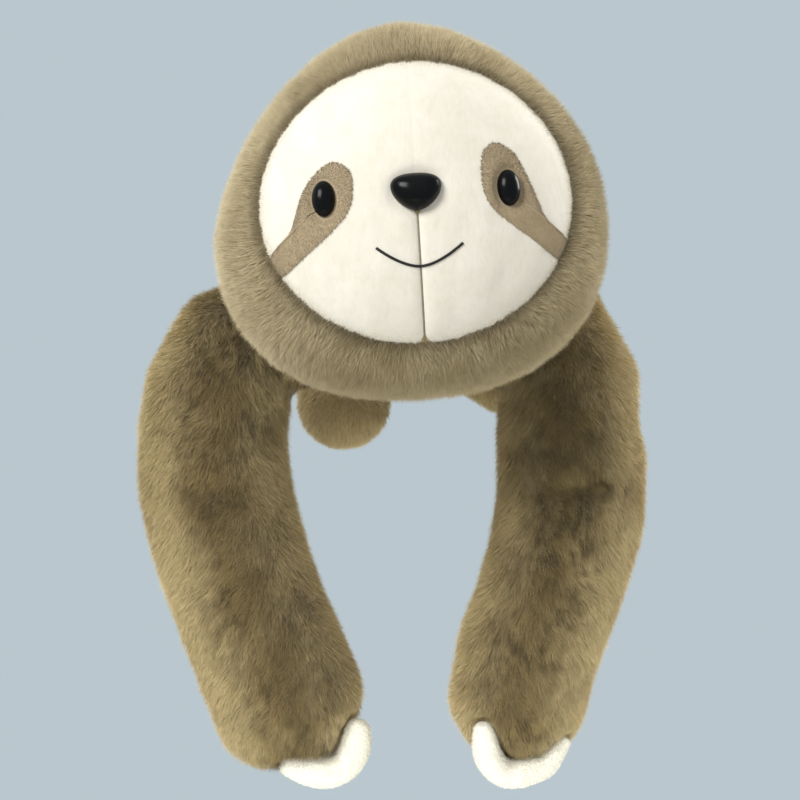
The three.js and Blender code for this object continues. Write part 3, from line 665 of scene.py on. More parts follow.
def drawn_in(flat, face):
    """How far the face cloth sinks at the middle seam and round the eyes and nose."""
    right, up = np.abs(flat[:, 0]), flat[:, 1]
    seam = face.seam_depth * (0.12 + 0.88 * below_the_nose(up, face)) * np.exp(-right / face.seam_width)
    nose = np.hypot(right / (face.nose_width / 2), (up - face.nose_rise) / (face.nose_height / 2))
    aside, above = right - face.eye_spread, up - face.eye_rise
    eye = np.hypot(aside / (face.eye_width / 2), above / (face.eye_height / 2))
    nose_dip = 0.0028 * np.exp(-((np.maximum(nose - 0.9, 0) / 0.35) ** 2))
    eye_dip = 0.0030 * np.exp(-((np.maximum(eye - 0.9, 0) / 0.4) ** 2))
    return seam + nose_dip + eye_dip


def panel_lift(flat, face):
    """How far the face cloth stands off the head, rounded down to its border."""
    inward = np.maximum(1.02 - outline_share(flat, face), 0) * face.half_height
    spots = np.column_stack([flat, 0 * flat[:, 0]])
    broad = 0.0016 * (value_noise(spots, 0.034, 61) - 0.5)
    fine = 0.0011 * (value_noise(spots * (1.0, 0.6, 1.0), 0.013, 62) - 0.5)
    low = np.clip((0.02 - flat[:, 1]) / 0.06, 0.25, 1.0)
    uneven = (broad + fine) * low * np.clip(inward / 0.02, 0, 1)
    return face.lift * (1 - np.exp(-inward / face.edge)) - 0.0004 + uneven


def smooth_line(points, steps, closed=False):
    """A smooth line through some rows of numbers, with some steps between two of them."""
    points = np.array(points)
    if closed:
        around = np.vstack([points[-1:], points, points[:2]])
    else:
        around = np.vstack([2 * points[0] - points[1], points, 2 * points[-1] - points[-2]])
    line = []
    for before, start, end, beyond in zip(around, around[1:], around[2:], around[3:]):
        bend = 2 * before - 5 * start + 4 * end - beyond
        twist = 3 * start - before - 3 * end + beyond
        for t in np.arange(steps) / steps:
            line.append(0.5 * (2 * start + (end - before) * t + bend * t**2 + twist * t**3))
    return np.array(line if closed else line + [points[-1]])


# Outline of an eye patch outwards and up from the face's middle, its middle, and how each patch is moved
PATCH_OUTLINE = [
    (0.0640, 0.0340),
    (0.0540, 0.0270),
    (0.0515, 0.0130),
    (0.0540, -0.0030),
    (0.0620, -0.0150),
    (0.0860, -0.0350),
    (0.1120, -0.0530),
    (0.1210, -0.0400),
    (0.1020, -0.0230),
    (0.0940, -0.0060),
    (0.0880, 0.0090),
    (0.0780, 0.0250),
]
PATCH_MIDDLE = (0.076, -0.002)
PATCH_INNER = {"right": -0.0024, "left": 0.0}
PATCH_TOP = {"right": -0.0024, "left": 0.0050}


def patch_line(name):
    """The outline of one eye patch on the face; the two are sewn on a little differently."""
    line = [
        (SIDES[name] * (out + PATCH_INNER[name] * (1 <= i <= 6)), up + PATCH_TOP[name] * (up > 0.02))
        for i, (out, up) in enumerate(PATCH_OUTLINE)
    ]
    return smooth_line(line, 8, closed=True)


def from_patch_middle(flat, line, middle):
    """How far flat places lie from a patch's middle, as a share of its outline there."""
    rim, spots = line - middle, flat - middle
    turn = np.arctan2(rim[:, 1], rim[:, 0])
    reach = np.interp(
        np.arctan2(spots[:, 1], spots[:, 0]), turn, np.hypot(rim[:, 0], rim[:, 1]), period=2 * math.pi
    )
    return np.hypot(spots[:, 0], spots[:, 1]) / reach


def solid_sheet(obj, thickness):
    """Gives an open sheet its wall, on the inner side."""
    wall = obj.modifiers.new("Wall", "SOLIDIFY")
    wall.thickness = thickness
    wall.offset = -1
    apply_modifiers(obj)
    smooth_shading(obj.data)
    obj.data.set_sharp_from_angle(angle=SHARP_ANGLE)


def turn_outwards(obj):
    """Turns a sheet's faces so that they point to the front."""
    bm = opened(obj)
    bmesh.ops.recalc_face_normals(bm, faces=bm.faces)
    if sum(face.normal.y * face.calc_area() for face in bm.faces) > 0:
        bmesh.ops.reverse_faces(bm, faces=bm.faces)
    put_back(bm, obj.data)


def grid(name, columns, rows):
    """A flat grid of faces and its places from 0 to 1 both ways."""
    bm = bmesh.new()
    bmesh.ops.create_grid(bm, x_segments=columns, y_segments=rows, size=0.5)
    obj = new_object(name, bm)
    return obj, points_of(obj.data)[:, :2] + 0.5


def weld(obj):
    """Merges the places of a mesh that meet."""
    bm = opened(obj)
    bmesh.ops.remove_doubles(bm, verts=bm.verts, dist=2e-5)
    put_back(bm, obj.data)


def lay_sheet(obj, front, flat, lift):
    """Lays a grid on the front of the head, lifted off it, with its faces to the front."""
    set_points(obj.data, front.lifted(flat, lift))
    weld(obj)
    turn_outwards(obj)
    smooth_shading(obj.data)


# Fur


# Depth of the strands' roots in the skin, and large primes that scatter the corners of a noise
ROOT_DEPTH = 0.0006
PRIMES = (73856093, 19349663, 83492791, 2654435761)


def value_noise(places, size, seed):
    """Smooth random values from 0 to 1 that change over about that size."""
    scaled = places / size
    corner = np.floor(scaled).astype(np.int64)
    part = scaled - corner
    part = part * part * (3 - 2 * part)
    total = np.zeros(len(places))
    for offset in np.ndindex(2, 2, 2):
        cell = corner + np.array(offset)
        mixed = seed * PRIMES[3]
        for axis in range(3):
            mixed = mixed ^ (cell[:, axis] * PRIMES[axis])
        mixed = (mixed ^ (mixed >> 13)) * 1274126177
        value = ((mixed ^ (mixed >> 16)) & 0xFFFF) / 0xFFFF
        weight = np.prod(np.where(np.array(offset) == 1, part, 1 - part), axis=1)
        total += value * weight
    return total


def unit(vectors):
    """Vectors of length 1."""
    return vectors / np.maximum(np.linalg.norm(vectors, axis=1, keepdims=True), 1e-9)


def along_skin(vectors, normals):
    """Directions turned into the surface."""
    return unit(vectors - np.sum(vectors * normals, axis=1, keepdims=True) * normals)


def scatter(obj, number, random, kept):
    """Random roots on a skin, even over its area, where kept says so: places and normals."""
    mesh = obj.data
    mesh.calc_loop_triangles()
    corners = np.empty(len(mesh.loop_triangles) * 3, np.int32)
    mesh.loop_triangles.foreach_get("vertices", corners)
    corners = corners.reshape(-1, 3)
    places, normals = points_of(mesh), normals_of(mesh)
    a, b, c = (places[corners[:, k]] for k in range(3))
    area = np.linalg.norm(np.cross(b - a, c - a), axis=1) * kept((a + b + c) / 3)
    ends = np.cumsum(area)
    pick = np.searchsorted(ends, (np.arange(number) + random.random(number)) / number * ends[-1])
    pick = np.minimum(pick, len(area) - 1)
    u, v = random.random((2, number))
    over = u + v > 1
    u[over], v[over] = 1 - u[over], 1 - v[over]
    shares = np.stack([1 - u - v, u, v], axis=1)[:, :, None]
    where = np.sum(places[corners[pick]] * shares, axis=1)
    out = unit(np.sum(normals[corners[pick]] * shares, axis=1))
    inside = kept(where) > 0
    return where[inside], out[inside]


def clump(roots, ends, spacing, pull, random):
    """Draws the ends of the strands together in tufts."""
    number = max(1, int(len(roots) * spacing))
    chosen = random.choice(len(roots), number, replace=False)
    tree = kdtree.KDTree(number)
    for i, root in enumerate(roots[chosen]):
        tree.insert(root, i)
    tree.balance()
    nearest = np.array([tree.find(root)[1] for root in roots])
    centre = chosen[nearest]
    return ends + (ends[centre] - ends) * pull[:, None], centre


def in_bands(places, cell):
    """An order that keeps strands beside their neighbours."""
    keys = np.floor((places - places.min(axis=0)) / cell).astype(np.int64)
    return np.lexsort((keys[:, 0], keys[:, 1], keys[:, 2]))


def strand_mesh(name, roots, ends, sides, widths, root_colours, end_colours):
    """One thin blade for each strand, with its colours and its own cell in the texture."""
    number = len(roots)
    half = sides * widths[:, None] / 2
    corners = np.stack([roots - half, roots + half, ends], axis=1)
    mesh = bpy.data.meshes.new(name)
    mesh.vertices.add(number * 3)
    mesh.loops.add(number * 3)
    mesh.polygons.add(number)
    mesh.vertices.foreach_set("co", corners.ravel())
    mesh.loops.foreach_set("vertex_index", np.arange(number * 3, dtype=np.int32))
    mesh.polygons.foreach_set("loop_start", np.arange(number, dtype=np.int32) * 3)
    pile = mesh.attributes.new("Pile", "FLOAT_COLOR", "POINT")
    shades = np.ones((number, 3, 4))
    shades[:, 0, :3] = shades[:, 1, :3] = root_colours
    shades[:, 2, :3] = end_colours
    pile.data.foreach_set("color", shades.ravel())
    cells = math.ceil(math.sqrt(number))
    row, column = np.divmod(np.arange(number), cells)
    column = np.where(row % 2, cells - 1 - column, column)
    cell = np.stack([column, row], axis=1)[:, None, :]
    spots = np.array([(0.04, 0.08), (0.96, 0.08), (0.5, 0.94)])[None]
    layer = mesh.uv_layers.new(name="OFBake")
    layer.data.foreach_set("uv", ((cell + spots) / cells).ravel())
    mesh.update()
    mesh.validate()
    return link(name, mesh)


class Coat:
    """How the fur lies on one skin."""

    def __init__(self, skin, seed):
        self.skin = skin
        self.random = np.random.default_rng(seed)
        self.seed = seed

    def grow(self, number, pile, comb, lean, kept, shade, spacing, pull, width, swirl=0.28):
        """Roots, ends and colours of the strands.

        comb gives the direction in which the strands lie, lean how far they lie down (0 upright, 1 flat),
        and shade the colours of root and end. Each of them is given the roots and the normals there.
        """
        random = self.random
        roots, normals = scatter(self.skin, number, random, kept)
        order = in_bands(roots, 0.004)
        roots, normals = roots[order], normals[order]
        number = len(roots)
        lie = along_skin(comb(roots, normals), normals)
        across = np.cross(normals, lie)
        slow = value_noise(roots, 0.03, self.seed) + 0.6 * value_noise(roots, 0.011, self.seed + 5) - 0.8
        turn = slow * 4 * swirl + random.normal(0, swirl, number)
        lie = lie * np.cos(turn)[:, None] + across * np.sin(turn)[:, None]
        down = np.clip(lean(roots, normals) + random.normal(0, 0.09, number), 0.03, 0.97)
        angle = down * math.pi / 2
        way = normals * np.cos(angle)[:, None] + lie * np.sin(angle)[:, None]
        reach = pile(roots, normals) * (0.62 + 0.6 * random.beta(2.2, 2.4, number))
        ends = roots + way * reach[:, None]
        drawn = pull * random.uniform(0.4, 1.0, number)
        ends, centre = clump(roots, ends, spacing, drawn, random)
        way = unit(ends - roots)
        flat = unit(np.cross(way, normals))
        tilt = random.normal(0, 0.6, number)
        side = flat * np.cos(tilt)[:, None] + np.cross(flat, way) * np.sin(tilt)[:, None]
        widths = width * random.uniform(0.7, 1.25, number)
        root_colours, end_colours = shade(roots, normals, centre, random)
        return roots - normals * ROOT_DEPTH, ends, side, widths, root_colours, end_colours


def pieces_of(name, grown, limit=60000):
    """The strands as pieces, none too large."""
    number = len(grown[0])
    parts = max(1, math.ceil(number / limit))
    made = []
    for i in range(parts):
        part = slice(number * i // parts, number * (i + 1) // parts)
        label = name if parts == 1 else f"{name}_{i + 1}"
        made.append(strand_mesh(label, *[values[part] for values in grown]))
    return made


def fix_pieces(name, grown, slot, body, finish="Fur"):
    """Makes strands into pieces that move with one body."""
    for piece in pieces_of(name, grown):
        dress(piece, slot, body, finish=finish)


def even(value):
    """The same value at every root."""
    return lambda roots, normals: np.full(len(roots), value)


def one_way(direction):
    """The same direction at every root."""
    return lambda roots, normals: np.tile(direction, (len(roots), 1))


def clear_of(grown, skins, gap, deepest=1.0):
    """Leaves out strands that start or end closer than a gap to other skins, or inside them.

    deepest is the farthest that a place inside a skin can be from it. It keeps the sharp edge of a cut form
    from being misread as an inside.
    """
    wanted = np.ones(len(grown[0]), bool)
    for skin in skins:
        tree = tree_of(skin)
        low = points_of(skin.data).min(axis=0) - 0.02
        high = points_of(skin.data).max(axis=0) + 0.02
        for spots in grown[:2]:
            near = np.flatnonzero(np.all((spots > low) & (spots < high), axis=1) & wanted)
            for i in near:
                hit, normal, _, far = tree.find_nearest(spots[i])
                if far < gap or (far < deepest and (Vector(spots[i]) - hit).dot(normal) < 0):
                    wanted[i] = False
    return tuple(values[wanted] for values in grown)


def blend_colours(first, second, amount):
    """Colours between two, one row for each amount."""
    amount = np.clip(amount, 0, 1)[:, None]
    return np.array(first)[None] * (1 - amount) + np.array(second)[None] * amount


def pile_shade(seed, colours, lighter, painted_shade_marks=None):
    """Colours of long pile: roots darker and ends lighter, the pile's own tone with painted shade deep in it
    and painted light on the tips; soft areas of their own tone; dark places of painted shade, and on the
    arms partly dye, where the mask says.

    colours are those of the root, the middle and the tip. lighter says how much the tone is raised, as
    painted light, or lowered, as painted shade.
    """
    root, middle, tip = colours
    dark = np.array(bpy.context.scene.sloth_colours.dye_and_shade_dark)[None]

    def shade(roots, normals, centre, random):
        tuft = random.random(len(roots))[centre]
        tone = 0.5 * value_noise(roots, 0.024, seed) + 0.3 * value_noise(roots, 0.009, seed + 1) + 0.2 * tuft
        tone = tone + lighter(roots, normals)
        # Ends lighter towards the tip colour and roots darker: the pile's own tone, with painted light on
        # the tips and painted shade deep in the pile.
        ends = blend_colours(middle, tip, tone * 1.15)
        starts = blend_colours(root, middle, 0.3 + 0.5 * tone)
        # Painted shade, and on the arms partly dye: the ends turn to the dark colour and the roots darken
        # where the mask says.
        if painted_shade_marks is not None:
            amount = painted_shade_marks(roots, normals)[:, None]
            ends = ends * (1 - 0.8 * amount) + dark * 0.8 * amount
            starts = starts * (1 - 0.6 * amount)
        speck = random.normal(1.0, 0.05, (len(roots), 1))
        return starts * speck, ends * speck

    return shade


# The pieces


def ride_arm(obj):
    """Bakes the place of a piece of an arm into its mesh."""
    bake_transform(obj)


class SlothSkins(bpy.types.Operator):
    """Stuffed skins of the head, the body, the arms and the legs"""

    bl_idname = "sloth.skins"
    bl_label = "Skins"

    def execute(self, context):
        finishes()
        sizes = context.scene.sloth_skin
        pairs = [f"{side}_{part}" for part in ("face", "eye_patch") for side in SIDES]
        head = padded_skin("head_skin", ["head_cover", *pairs, "head_stuffing"], sizes)
        dress(head, "long_plush", "head", "head_cover")

        inside = ["back_stuffing", "belly_stuffing", "belly_weight_pouch", "belly_glass_beads"]
        torso = padded_skin("torso_skin", ["torso_cover", *inside], sizes)
        dress(torso, "long_plush", "torso", "torso_cover")

        for side in SIDES:
            halves = [f"{side}_upper_arm", f"{side}_forearm"]
            hidden = [f"{half}_{part}" for part in ("cover", "stuffing") for half in halves]
            nodes = [*hidden, f"{side}_paw_pouch", f"{side}_paw_beads"]
            arm = padded_skin(f"{side}_arm_skin", nodes, sizes, sizes.elbow_groove)
            finish_piece(arm, "long_plush")
            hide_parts(*hidden)
            ride_arm(arm)

            leg = padded_skin(f"{side}_leg_skin", [f"{side}_leg_cover", f"{side}_leg_stuffing"], sizes)
            dress(leg, "long_plush", f"{side}_leg", f"{side}_leg_cover")
        return {"FINISHED"}


def stitch(name, places, radii):
    """A thread or tube through some places, with its radius at each."""
    curve = bpy.data.curves.new(name, "CURVE")
    curve.dimensions = "3D"
    curve.bevel_depth = 1.0
    curve.bevel_resolution = 3
    curve.use_fill_caps = True
    spline = curve.splines.new("POLY")
    spline.points.add(len(places) - 1)
    for point, place, radius in zip(spline.points, places, np.broadcast_to(radii, len(places))):
        point.co = (*place, 1.0)
        point.radius = radius
    source = link(f"{name}_curve", curve)
    graph = bpy.context.evaluated_depsgraph_get()
    mesh = bpy.data.meshes.new_from_object(source.evaluated_get(graph))
    mesh.name = name
    bpy.data.objects.remove(source)
    obj = link(name, mesh)
    weld(obj)
    smooth_shading(obj.data)
    return obj


# The claws of a paw make one crescent: places on its middle line with the radius there, and its split
CRESCENT = {
    "right": [
        (-0.1030, -0.020, -0.3515, 0.0062),
        (-0.0985, -0.019, -0.3535, 0.0098),
        (-0.0800, -0.016, -0.3590, 0.0140),
        (-0.0608, -0.012, -0.3620, 0.0150),
        (-0.0450, -0.010, -0.3565, 0.0142),
        (-0.0362, -0.012, -0.3425, 0.0148),
        (-0.0330, -0.014, -0.3280, 0.0137),
        (-0.0316, -0.017, -0.3170, 0.0102),
        (-0.0306, -0.018, -0.3120, 0.0055),
    ],
    "left": [
        (0.0838, -0.038, -0.3105, 0.0055),
        (0.0844, -0.037, -0.3150, 0.0085),
        (0.0865, -0.033, -0.3285, 0.0119),
        (0.0910, -0.026, -0.3455, 0.0133),
        (0.1024, -0.018, -0.3595, 0.0133),
        (0.1168, -0.014, -0.3630, 0.0136),
        (0.1330, -0.014, -0.3590, 0.0131),
        (0.1455, -0.015, -0.3542, 0.0110),
        (0.1560, -0.017, -0.3410, 0.0082),
        (0.1645, -0.019, -0.3290, 0.0050),
    ],
}
CLAW_SPLIT = {"right": -0.045, "left": 0.1195}
CUT_GAP = 0.0006


def crescent(side, sizes):
    """The plush crescent of a paw: a bent tube that is remeshed, smoothed and puffed."""
    line = smooth_line(CRESCENT[side], 6)
    obj = stitch(f"{side}_crescent", line[:, :3], line[:, 3])
    even_out(obj, sizes.claw_voxel, sizes.claw_smoothing)
    puff(obj, sizes.pressure, sizes.claw_puff)
    return obj


def half_of(obj, name, split, keep):
    """A closed half of a form, on the side of a plane across X that keep points to."""
    bm = opened(obj)
    whole = bm.verts[:] + bm.edges[:] + bm.faces[:]
    plane = {"plane_co": (split, 0, 0), "plane_no": (-keep, 0, 0)}
    cut = bmesh.ops.bisect_plane(bm, geom=whole, clear_outer=True, **plane)
    edges = [part for part in cut["geom_cut"] if isinstance(part, bmesh.types.BMEdge)]
    bmesh.ops.holes_fill(bm, edges=edges, sides=0)
    bmesh.ops.recalc_face_normals(bm, faces=bm.faces)
    return new_object(name, bm)


CLAW_BODIES = {"outer_claw": "forearm", "inner_claw": "forearm", "outer_toe": "leg", "inner_toe": "leg"}


class SlothClaws(bpy.types.Operator):
    """White plush claws on the paws and toes on the feet"""

    bl_idname = "sloth.claws"
    bl_label = "Claws and toes"

    def execute(self, context):
        sizes = context.scene.sloth_skin
        fur = context.scene.sloth_fur
        white = np.array(context.scene.sloth_colours.claw)[None]

        def shade(roots, normals, centre, random):
            tone = random.uniform(0.94, 1.0, (len(roots), 1))
            # Roots a little darker than the ends: painted shade deep in the pile.
            return white * tone * 0.95, white * tone

        for side in SIDES:
            whole = crescent(side, sizes)
            for claw, body in CLAW_BODIES.items():
                node = f"{side}_{claw}"
                toe = claw.endswith("toe")
                if toe:
                    obj = remeshed(f"{node}_plush", [node], sizes.toe_voxel, sizes.toe_smoothing)
                    puff(obj, sizes.pressure, sizes.toe_puff)
                else:
                    keep = SIDES[side] * (1 if claw == "outer_claw" else -1)
                    obj = half_of(whole, f"{node}_plush", CLAW_SPLIT[side], keep)
                smooth_shading(obj.data)
                obj.data.set_sharp_from_angle(angle=SHARP_ANGLE)
                dress(obj, "claw_plush", f"{side}_{body}", node)
                grown = Coat(obj, fur.seed + len(node)).grow(
                    fur.claw_strands // (2 if toe else 1),
                    even(fur.claw_length),
                    one_way((0.0, 0.0, -1.0)),
                    even(0.6),
                    lambda places: (toe | (np.abs(places[:, 0] - CLAW_SPLIT[side]) > CUT_GAP)).astype(float),
                    shade,
                    spacing=0.1,
                    pull=0.3,
                    width=0.0006,
                )
                fix_pieces(f"{node}_pile", grown, "claw_plush", f"{side}_{body}", "White pile")
            bpy.data.objects.remove(whole)
        return {"FINISHED"}


class SlothFace(bpy.types.Operator):
    """Two puffed face panels with a drawn-in seam, and the plush patches round the eyes"""

    bl_idname = "sloth.face"
    bl_label = "Face"

    def execute(self, context):
        face = context.scene.sloth_face
        fur = context.scene.sloth_fur
        cream = np.array(context.scene.sloth_colours.face)[None]
        brown = np.array(context.scene.sloth_colours.patch)[None]
        front = HeadFront(bpy.data.objects["head_skin"])
        fineness = 2
        for name, side in SIDES.items():
            line = patch_line(name)
            middle = np.array([side * PATCH_MIDDLE[0], PATCH_MIDDLE[1]])

            panel, spots = grid(f"{name}_face_panel", 36 * fineness, 60 * fineness)
            angle = (spots[:, 1] - 0.5) * math.pi
            across = side * spots[:, 0] * (face.half_width + face.overlap) * np.cos(angle)
            flat = np.stack([across, (face.half_height + face.overlap) * np.sin(angle)], axis=1)
            lay_sheet(panel, front, flat, panel_lift(flat, face) - drawn_in(flat, face))

            def on_border(places):
                clear = from_patch_middle(on_face(places, face), line, middle) > 1.03
                return np.clip((face_share(places, face) - 0.93) / 0.06, 0, 1) * clear

            def white(roots, normals, centre, random):
                tone = random.uniform(0.97, 1.0, (len(roots), 1))
                # Roots a little darker than the ends: painted shade deep in the pile.
                return cream * 0.98, cream * tone

            grown = Coat(panel, fur.seed + 30 + side).grow(
                fur.face_strands,
                lambda roots, normals: fur.face_length * on_border(roots),
                lambda roots, normals: from_face(roots, face) @ TO_HEAD.T,
                even(0.72),
                on_border,
                white,
                spacing=0.08,
                pull=0.2,
                width=0.0004,
            )
            fix_pieces(f"{name}_face_pile", grown, "face_plush", "head", "White pile")
            solid_sheet(panel, face.panel_wall)
            dress(panel, "face_plush", "head", f"{name}_face")

            patch, spots = grid(f"{name}_patch_plush", 14 * fineness, 48 * fineness)
            turn = spots[:, 1] * len(line)
            low = np.floor(turn).astype(int)
            part = (turn - low)[:, None]
            rim = line[low % len(line)] * (1 - part) + line[(low + 1) % len(line)] * part
            flat = middle + (rim - middle) * spots[:, :1]
            lift = panel_lift(flat, face) - drawn_in(flat, face) + 0.0004 + 0.0005 * (1 - spots[:, 0] ** 6)
            lay_sheet(patch, front, flat, lift)
            eye_at = from_head(np.array([front.at(side * face.eye_spread, face.eye_rise)[0]]))

            def shade(roots, normals, centre, random):
                flat = on_face(roots, face)
                # Painted shade and light: the pile darkens towards the patch's outline as a painted shadow,
                # lightens down its lower tail as painted light, and its roots are painted darker as shade
                # deep in the pile.
                border = np.clip((from_patch_middle(flat, line, middle) - 0.7) / 0.3, 0, 1)
                tone = 0.7 * value_noise(roots, 0.012, 5) + 0.3 * random.random(len(roots))
                painted_tail_light = np.clip((0.09 - flat[:, 1]) / 0.12 - 0.4, 0, 1)
                tone = (0.78 + 0.22 * tone + 0.2 * painted_tail_light) * (1 - 0.5 * border**2)
                return brown * 0.75 * tone[:, None], brown * tone[:, None]

            def kept(places):
                local = in_head(places) - in_head(eye_at)
                ring = np.hypot(local[:, 0] / (face.eye_width / 2), local[:, 2] / (face.eye_height / 2))
                return (ring > 1.05).astype(float)

            grown = Coat(patch, fur.seed + 40 + side).grow(
                fur.patch_strands,
                even(fur.patch_length),
                lambda roots, normals: unit(roots - eye_at) + (0, 0, -0.35),
                even(0.78),
                kept,
                shade,
                spacing=0.08,
                pull=0.2,
                width=0.0005,
            )
            fix_pieces(f"{name}_patch_pile", grown, "patch_plush", "head")
            solid_sheet(patch, face.patch_wall)
            dress(patch, "patch_plush", "head", f"{name}_eye_patch")
        return {"FINISHED"}


# The shank behind an eye or the nose
SHANK_RADIUS = 0.003
SHANK_LENGTH = 0.016


def button(name, size, front, right, up, sink, taper=0.0, brow=2.0):
    """A glossy dome on its shank, set into the face: size is its width, height and depth."""
    width, height, depth = size
    face = bpy.context.scene.sloth_face
    place, normal = front.at(right, up)
    bm = bmesh.new()
    bmesh.ops.create_uvsphere(bm, u_segments=48, v_segments=32, radius=1.0)
    for vert in bm.verts:
        x, y, z = vert.co
        flat = math.hypot(x, z)
        if flat > 1e-6 and z > 0:
            square = flat / (abs(x) ** brow + abs(z) ** brow) ** (1 / brow)
            x, z = x * square, z * square
        x *= 1 + taper * z
        y = y * depth if y < 0 else y * 0.002
        vert.co = (x * width / 2, y, z * height / 2)
    shank = bmesh.ops.create_cone(
        bm, cap_ends=True, segments=24, radius1=SHANK_RADIUS, radius2=SHANK_RADIUS, depth=SHANK_LENGTH
    )
    bmesh.ops.rotate(bm, verts=shank["verts"], matrix=Matrix.Rotation(math.pi / 2, 3, "X"))
    bmesh.ops.translate(bm, verts=shank["verts"], vec=(0, SHANK_LENGTH / 2 + 0.0005, 0))
    turn = Vector((0, -1, 0)).rotation_difference(normal).to_matrix()
    foot = place + normal * (face.lift - sink)
    for vert in bm.verts:
        vert.co = HEAD_CENTRE + HEAD_TURN @ (foot + turn @ vert.co)
    bmesh.ops.recalc_face_normals(bm, faces=bm.faces)
    obj = new_object(name, bm)
    smooth_shading(obj.data)
    return obj


class SlothFeatures(bpy.types.Operator):
    """Glossy eyes and nose, and the stitched mouth"""

    bl_idname = "sloth.features"
    bl_label = "Eyes, nose and mouth"

    def execute(self, context):
        face = context.scene.sloth_face
        front = HeadFront(bpy.data.objects["head_skin"])
        size = (face.eye_width, face.eye_height, face.eye_depth)
        for name, side in SIDES.items():
            right = side * face.eye_spread
            eye = button(f"{name}_eye_dome", size, front, right, face.eye_rise, face.eye_sink)
            dress(eye, "gloss_black", "head", f"{name}_eye")
        size = (face.nose_width, face.nose_height, face.nose_depth)
        form = (face.nose_taper, face.nose_brow)
        nose = button("nose_dome", size, front, 0.0, face.nose_rise, face.nose_sink, *form)
        dress(nose, "gloss_black", "head", "nose")

        steps = np.linspace(-1, 1, 41)
        fall = (face.mouth_top - face.mouth_bottom) * np.abs(steps) ** face.mouth_curl
        flat = np.stack([steps * face.mouth_half_width, face.mouth_bottom + fall], axis=1)
        lift = panel_lift(flat, face) + 0.0002 - drawn_in(flat, face) * 0.85
        mouth = stitch("mouth_stitch", front.lifted(flat, lift), face.thread_radius)
        dress(mouth, "thread", "head", "mouth_thread")

        # A grey tube along the seam below the nose: partly the seam, partly painted shade in its crease.
        up = np.linspace(face.nose_rise - 0.4 * face.nose_height, -0.985 * face.half_height, 61)
        flat = np.stack([0 * up, up], axis=1)
        lift = panel_lift(flat, face) - drawn_in(flat, face)
        seam = stitch("face_seam_shade", front.lifted(flat, lift), face.seam_radius)
        dress(seam, "face_plush", "head", finish="Face seam shade")
        return {"FINISHED"}


NECK = np.array((0.0, -0.025, 0.070))
SHOULDER = {side: np.array((sign * 0.062, 0.010, 0.060)) for side, sign in SIDES.items()}
HIP = {side: np.array((sign * 0.064, 0.214, 0.050)) for side, sign in SIDES.items()}

# How far from a joint the skin is bare, because another piece covers it there
BARE_HEAD = 0.079
BARE_ARM = 0.058
BARE_NECK = 0.080
BARE_SHOULDER = 0.054
BARE_HIP = 0.040


def close_to(places, joint, reach):
    """Whether places lie within reach of a joint."""
    return np.linalg.norm(places - joint, axis=1) < reach


class SlothHeadFur(bpy.types.Operator):
    """Soft fur round the face and over the head"""

    bl_idname = "sloth.head_fur"
    bl_label = "Head fur"

    def execute(self, context):
        fur = context.scene.sloth_fur
        face = context.scene.sloth_face
        c = context.scene.sloth_colours
        coat = Coat(bpy.data.objects["head_skin"], fur.seed)

        def kept(places):
            outside = face_share(places, face) + 0.03 * (value_noise(places, 0.005, 8) - 0.4)
            in_face = (in_head(places)[:, 1] < 0) & (outside < 1.0)
            return 1.0 - (in_face | close_to(places, NECK, BARE_HEAD))

        def comb(roots, normals):
            back = np.array((0.0, 1.0, -0.1))
            return (from_face(roots, face) * 0.75 + back * 0.6) @ TO_HEAD.T

        def beyond_face(roots):
            beyond = np.maximum(face_share(roots, face) - 1.0, 0)
            return np.where(in_head(roots)[:, 1] < 0, beyond, 1.0)

        def crown(roots):
            return np.clip((in_head(roots)[:, 2] - 0.09) / 0.07, 0, 1)

        def lean(roots, normals):
            return 0.46 - 0.06 * np.clip(beyond_face(roots) / 0.2, 0, 1)

        def pile(roots, normals):
            grown_out = 0.6 + 0.4 * np.clip(beyond_face(roots) / 0.12, 0, 1)
            return fur.head_length * grown_out * (1 - 0.25 * crown(roots))

        # Painted shade: a dark band of painted shade in the fur just beyond the face's border.
        def painted_shade_marks(roots, normals):
            return 0.75 * np.exp(-((beyond_face(roots) / 0.03) ** 2))

        # Painted light and shade: the fur is painted lighter farther out from the face, as painted rim
        # light, darker towards the chin, as painted shade, and darker on the crown.
        def lighter(roots, normals):
            low = np.clip(-in_head(roots)[:, 2] / 0.09 - 0.3, 0, 1)
            return 0.3 * np.clip(beyond_face(roots) / 0.1, 0, 1) - 0.6 * low - 0.3 * crown(roots)

        shade = pile_shade(fur.seed + 3, (c.root, c.middle, c.tip), lighter, painted_shade_marks)
        look = {"spacing": 0.06, "pull": 0.2, "width": 0.00055, "swirl": 0.42}
        grown = coat.grow(fur.head_strands, pile, comb, lean, kept, shade, **look)
        fix_pieces("head_fur", grown, "long_plush", "head")
        return {"FINISHED"}


def from_painted_shade_band(normals, side):
    """How far round from the band of painted shade down an arm, which runs down its front and back a little
    inwards; round to the sides the fur carries painted sheen.
    """
    return np.abs(side * normals[:, 0] + 0.13)


def dyed_and_shaded_gaps(roots, normals, side):
    """Where the pile of an arm parts into dark upright gaps, most in its band of painted shade; their
    darkness is partly dye and partly painted shade between the tufts.
    """
    facing = np.clip((0.75 - from_painted_shade_band(normals, side)) / 0.4, 0, 1)
    bend = 0.006 * np.stack([value_noise(roots, 0.011, 70 + k) - 0.5 for k in range(3)], axis=1)
    drawn = (roots + bend) * (1.0, 1.0, 0.55)
    fine = 0.55 * value_noise(drawn, 0.0050, 31) + 0.45 * value_noise(drawn, 0.0026, 32)
    groups = np.clip((value_noise(roots + bend, 0.040, 33) - 0.3) / 0.4, 0, 1)
    return facing * np.clip((fine - 0.42) / 0.2, 0, 1) * (0.3 + 0.5 * groups)


# Height from which a paw rounds off to its tip, and how far round the claws its fur is short
PAW_TIP = -0.322
CLAW_ROOM = 0.012


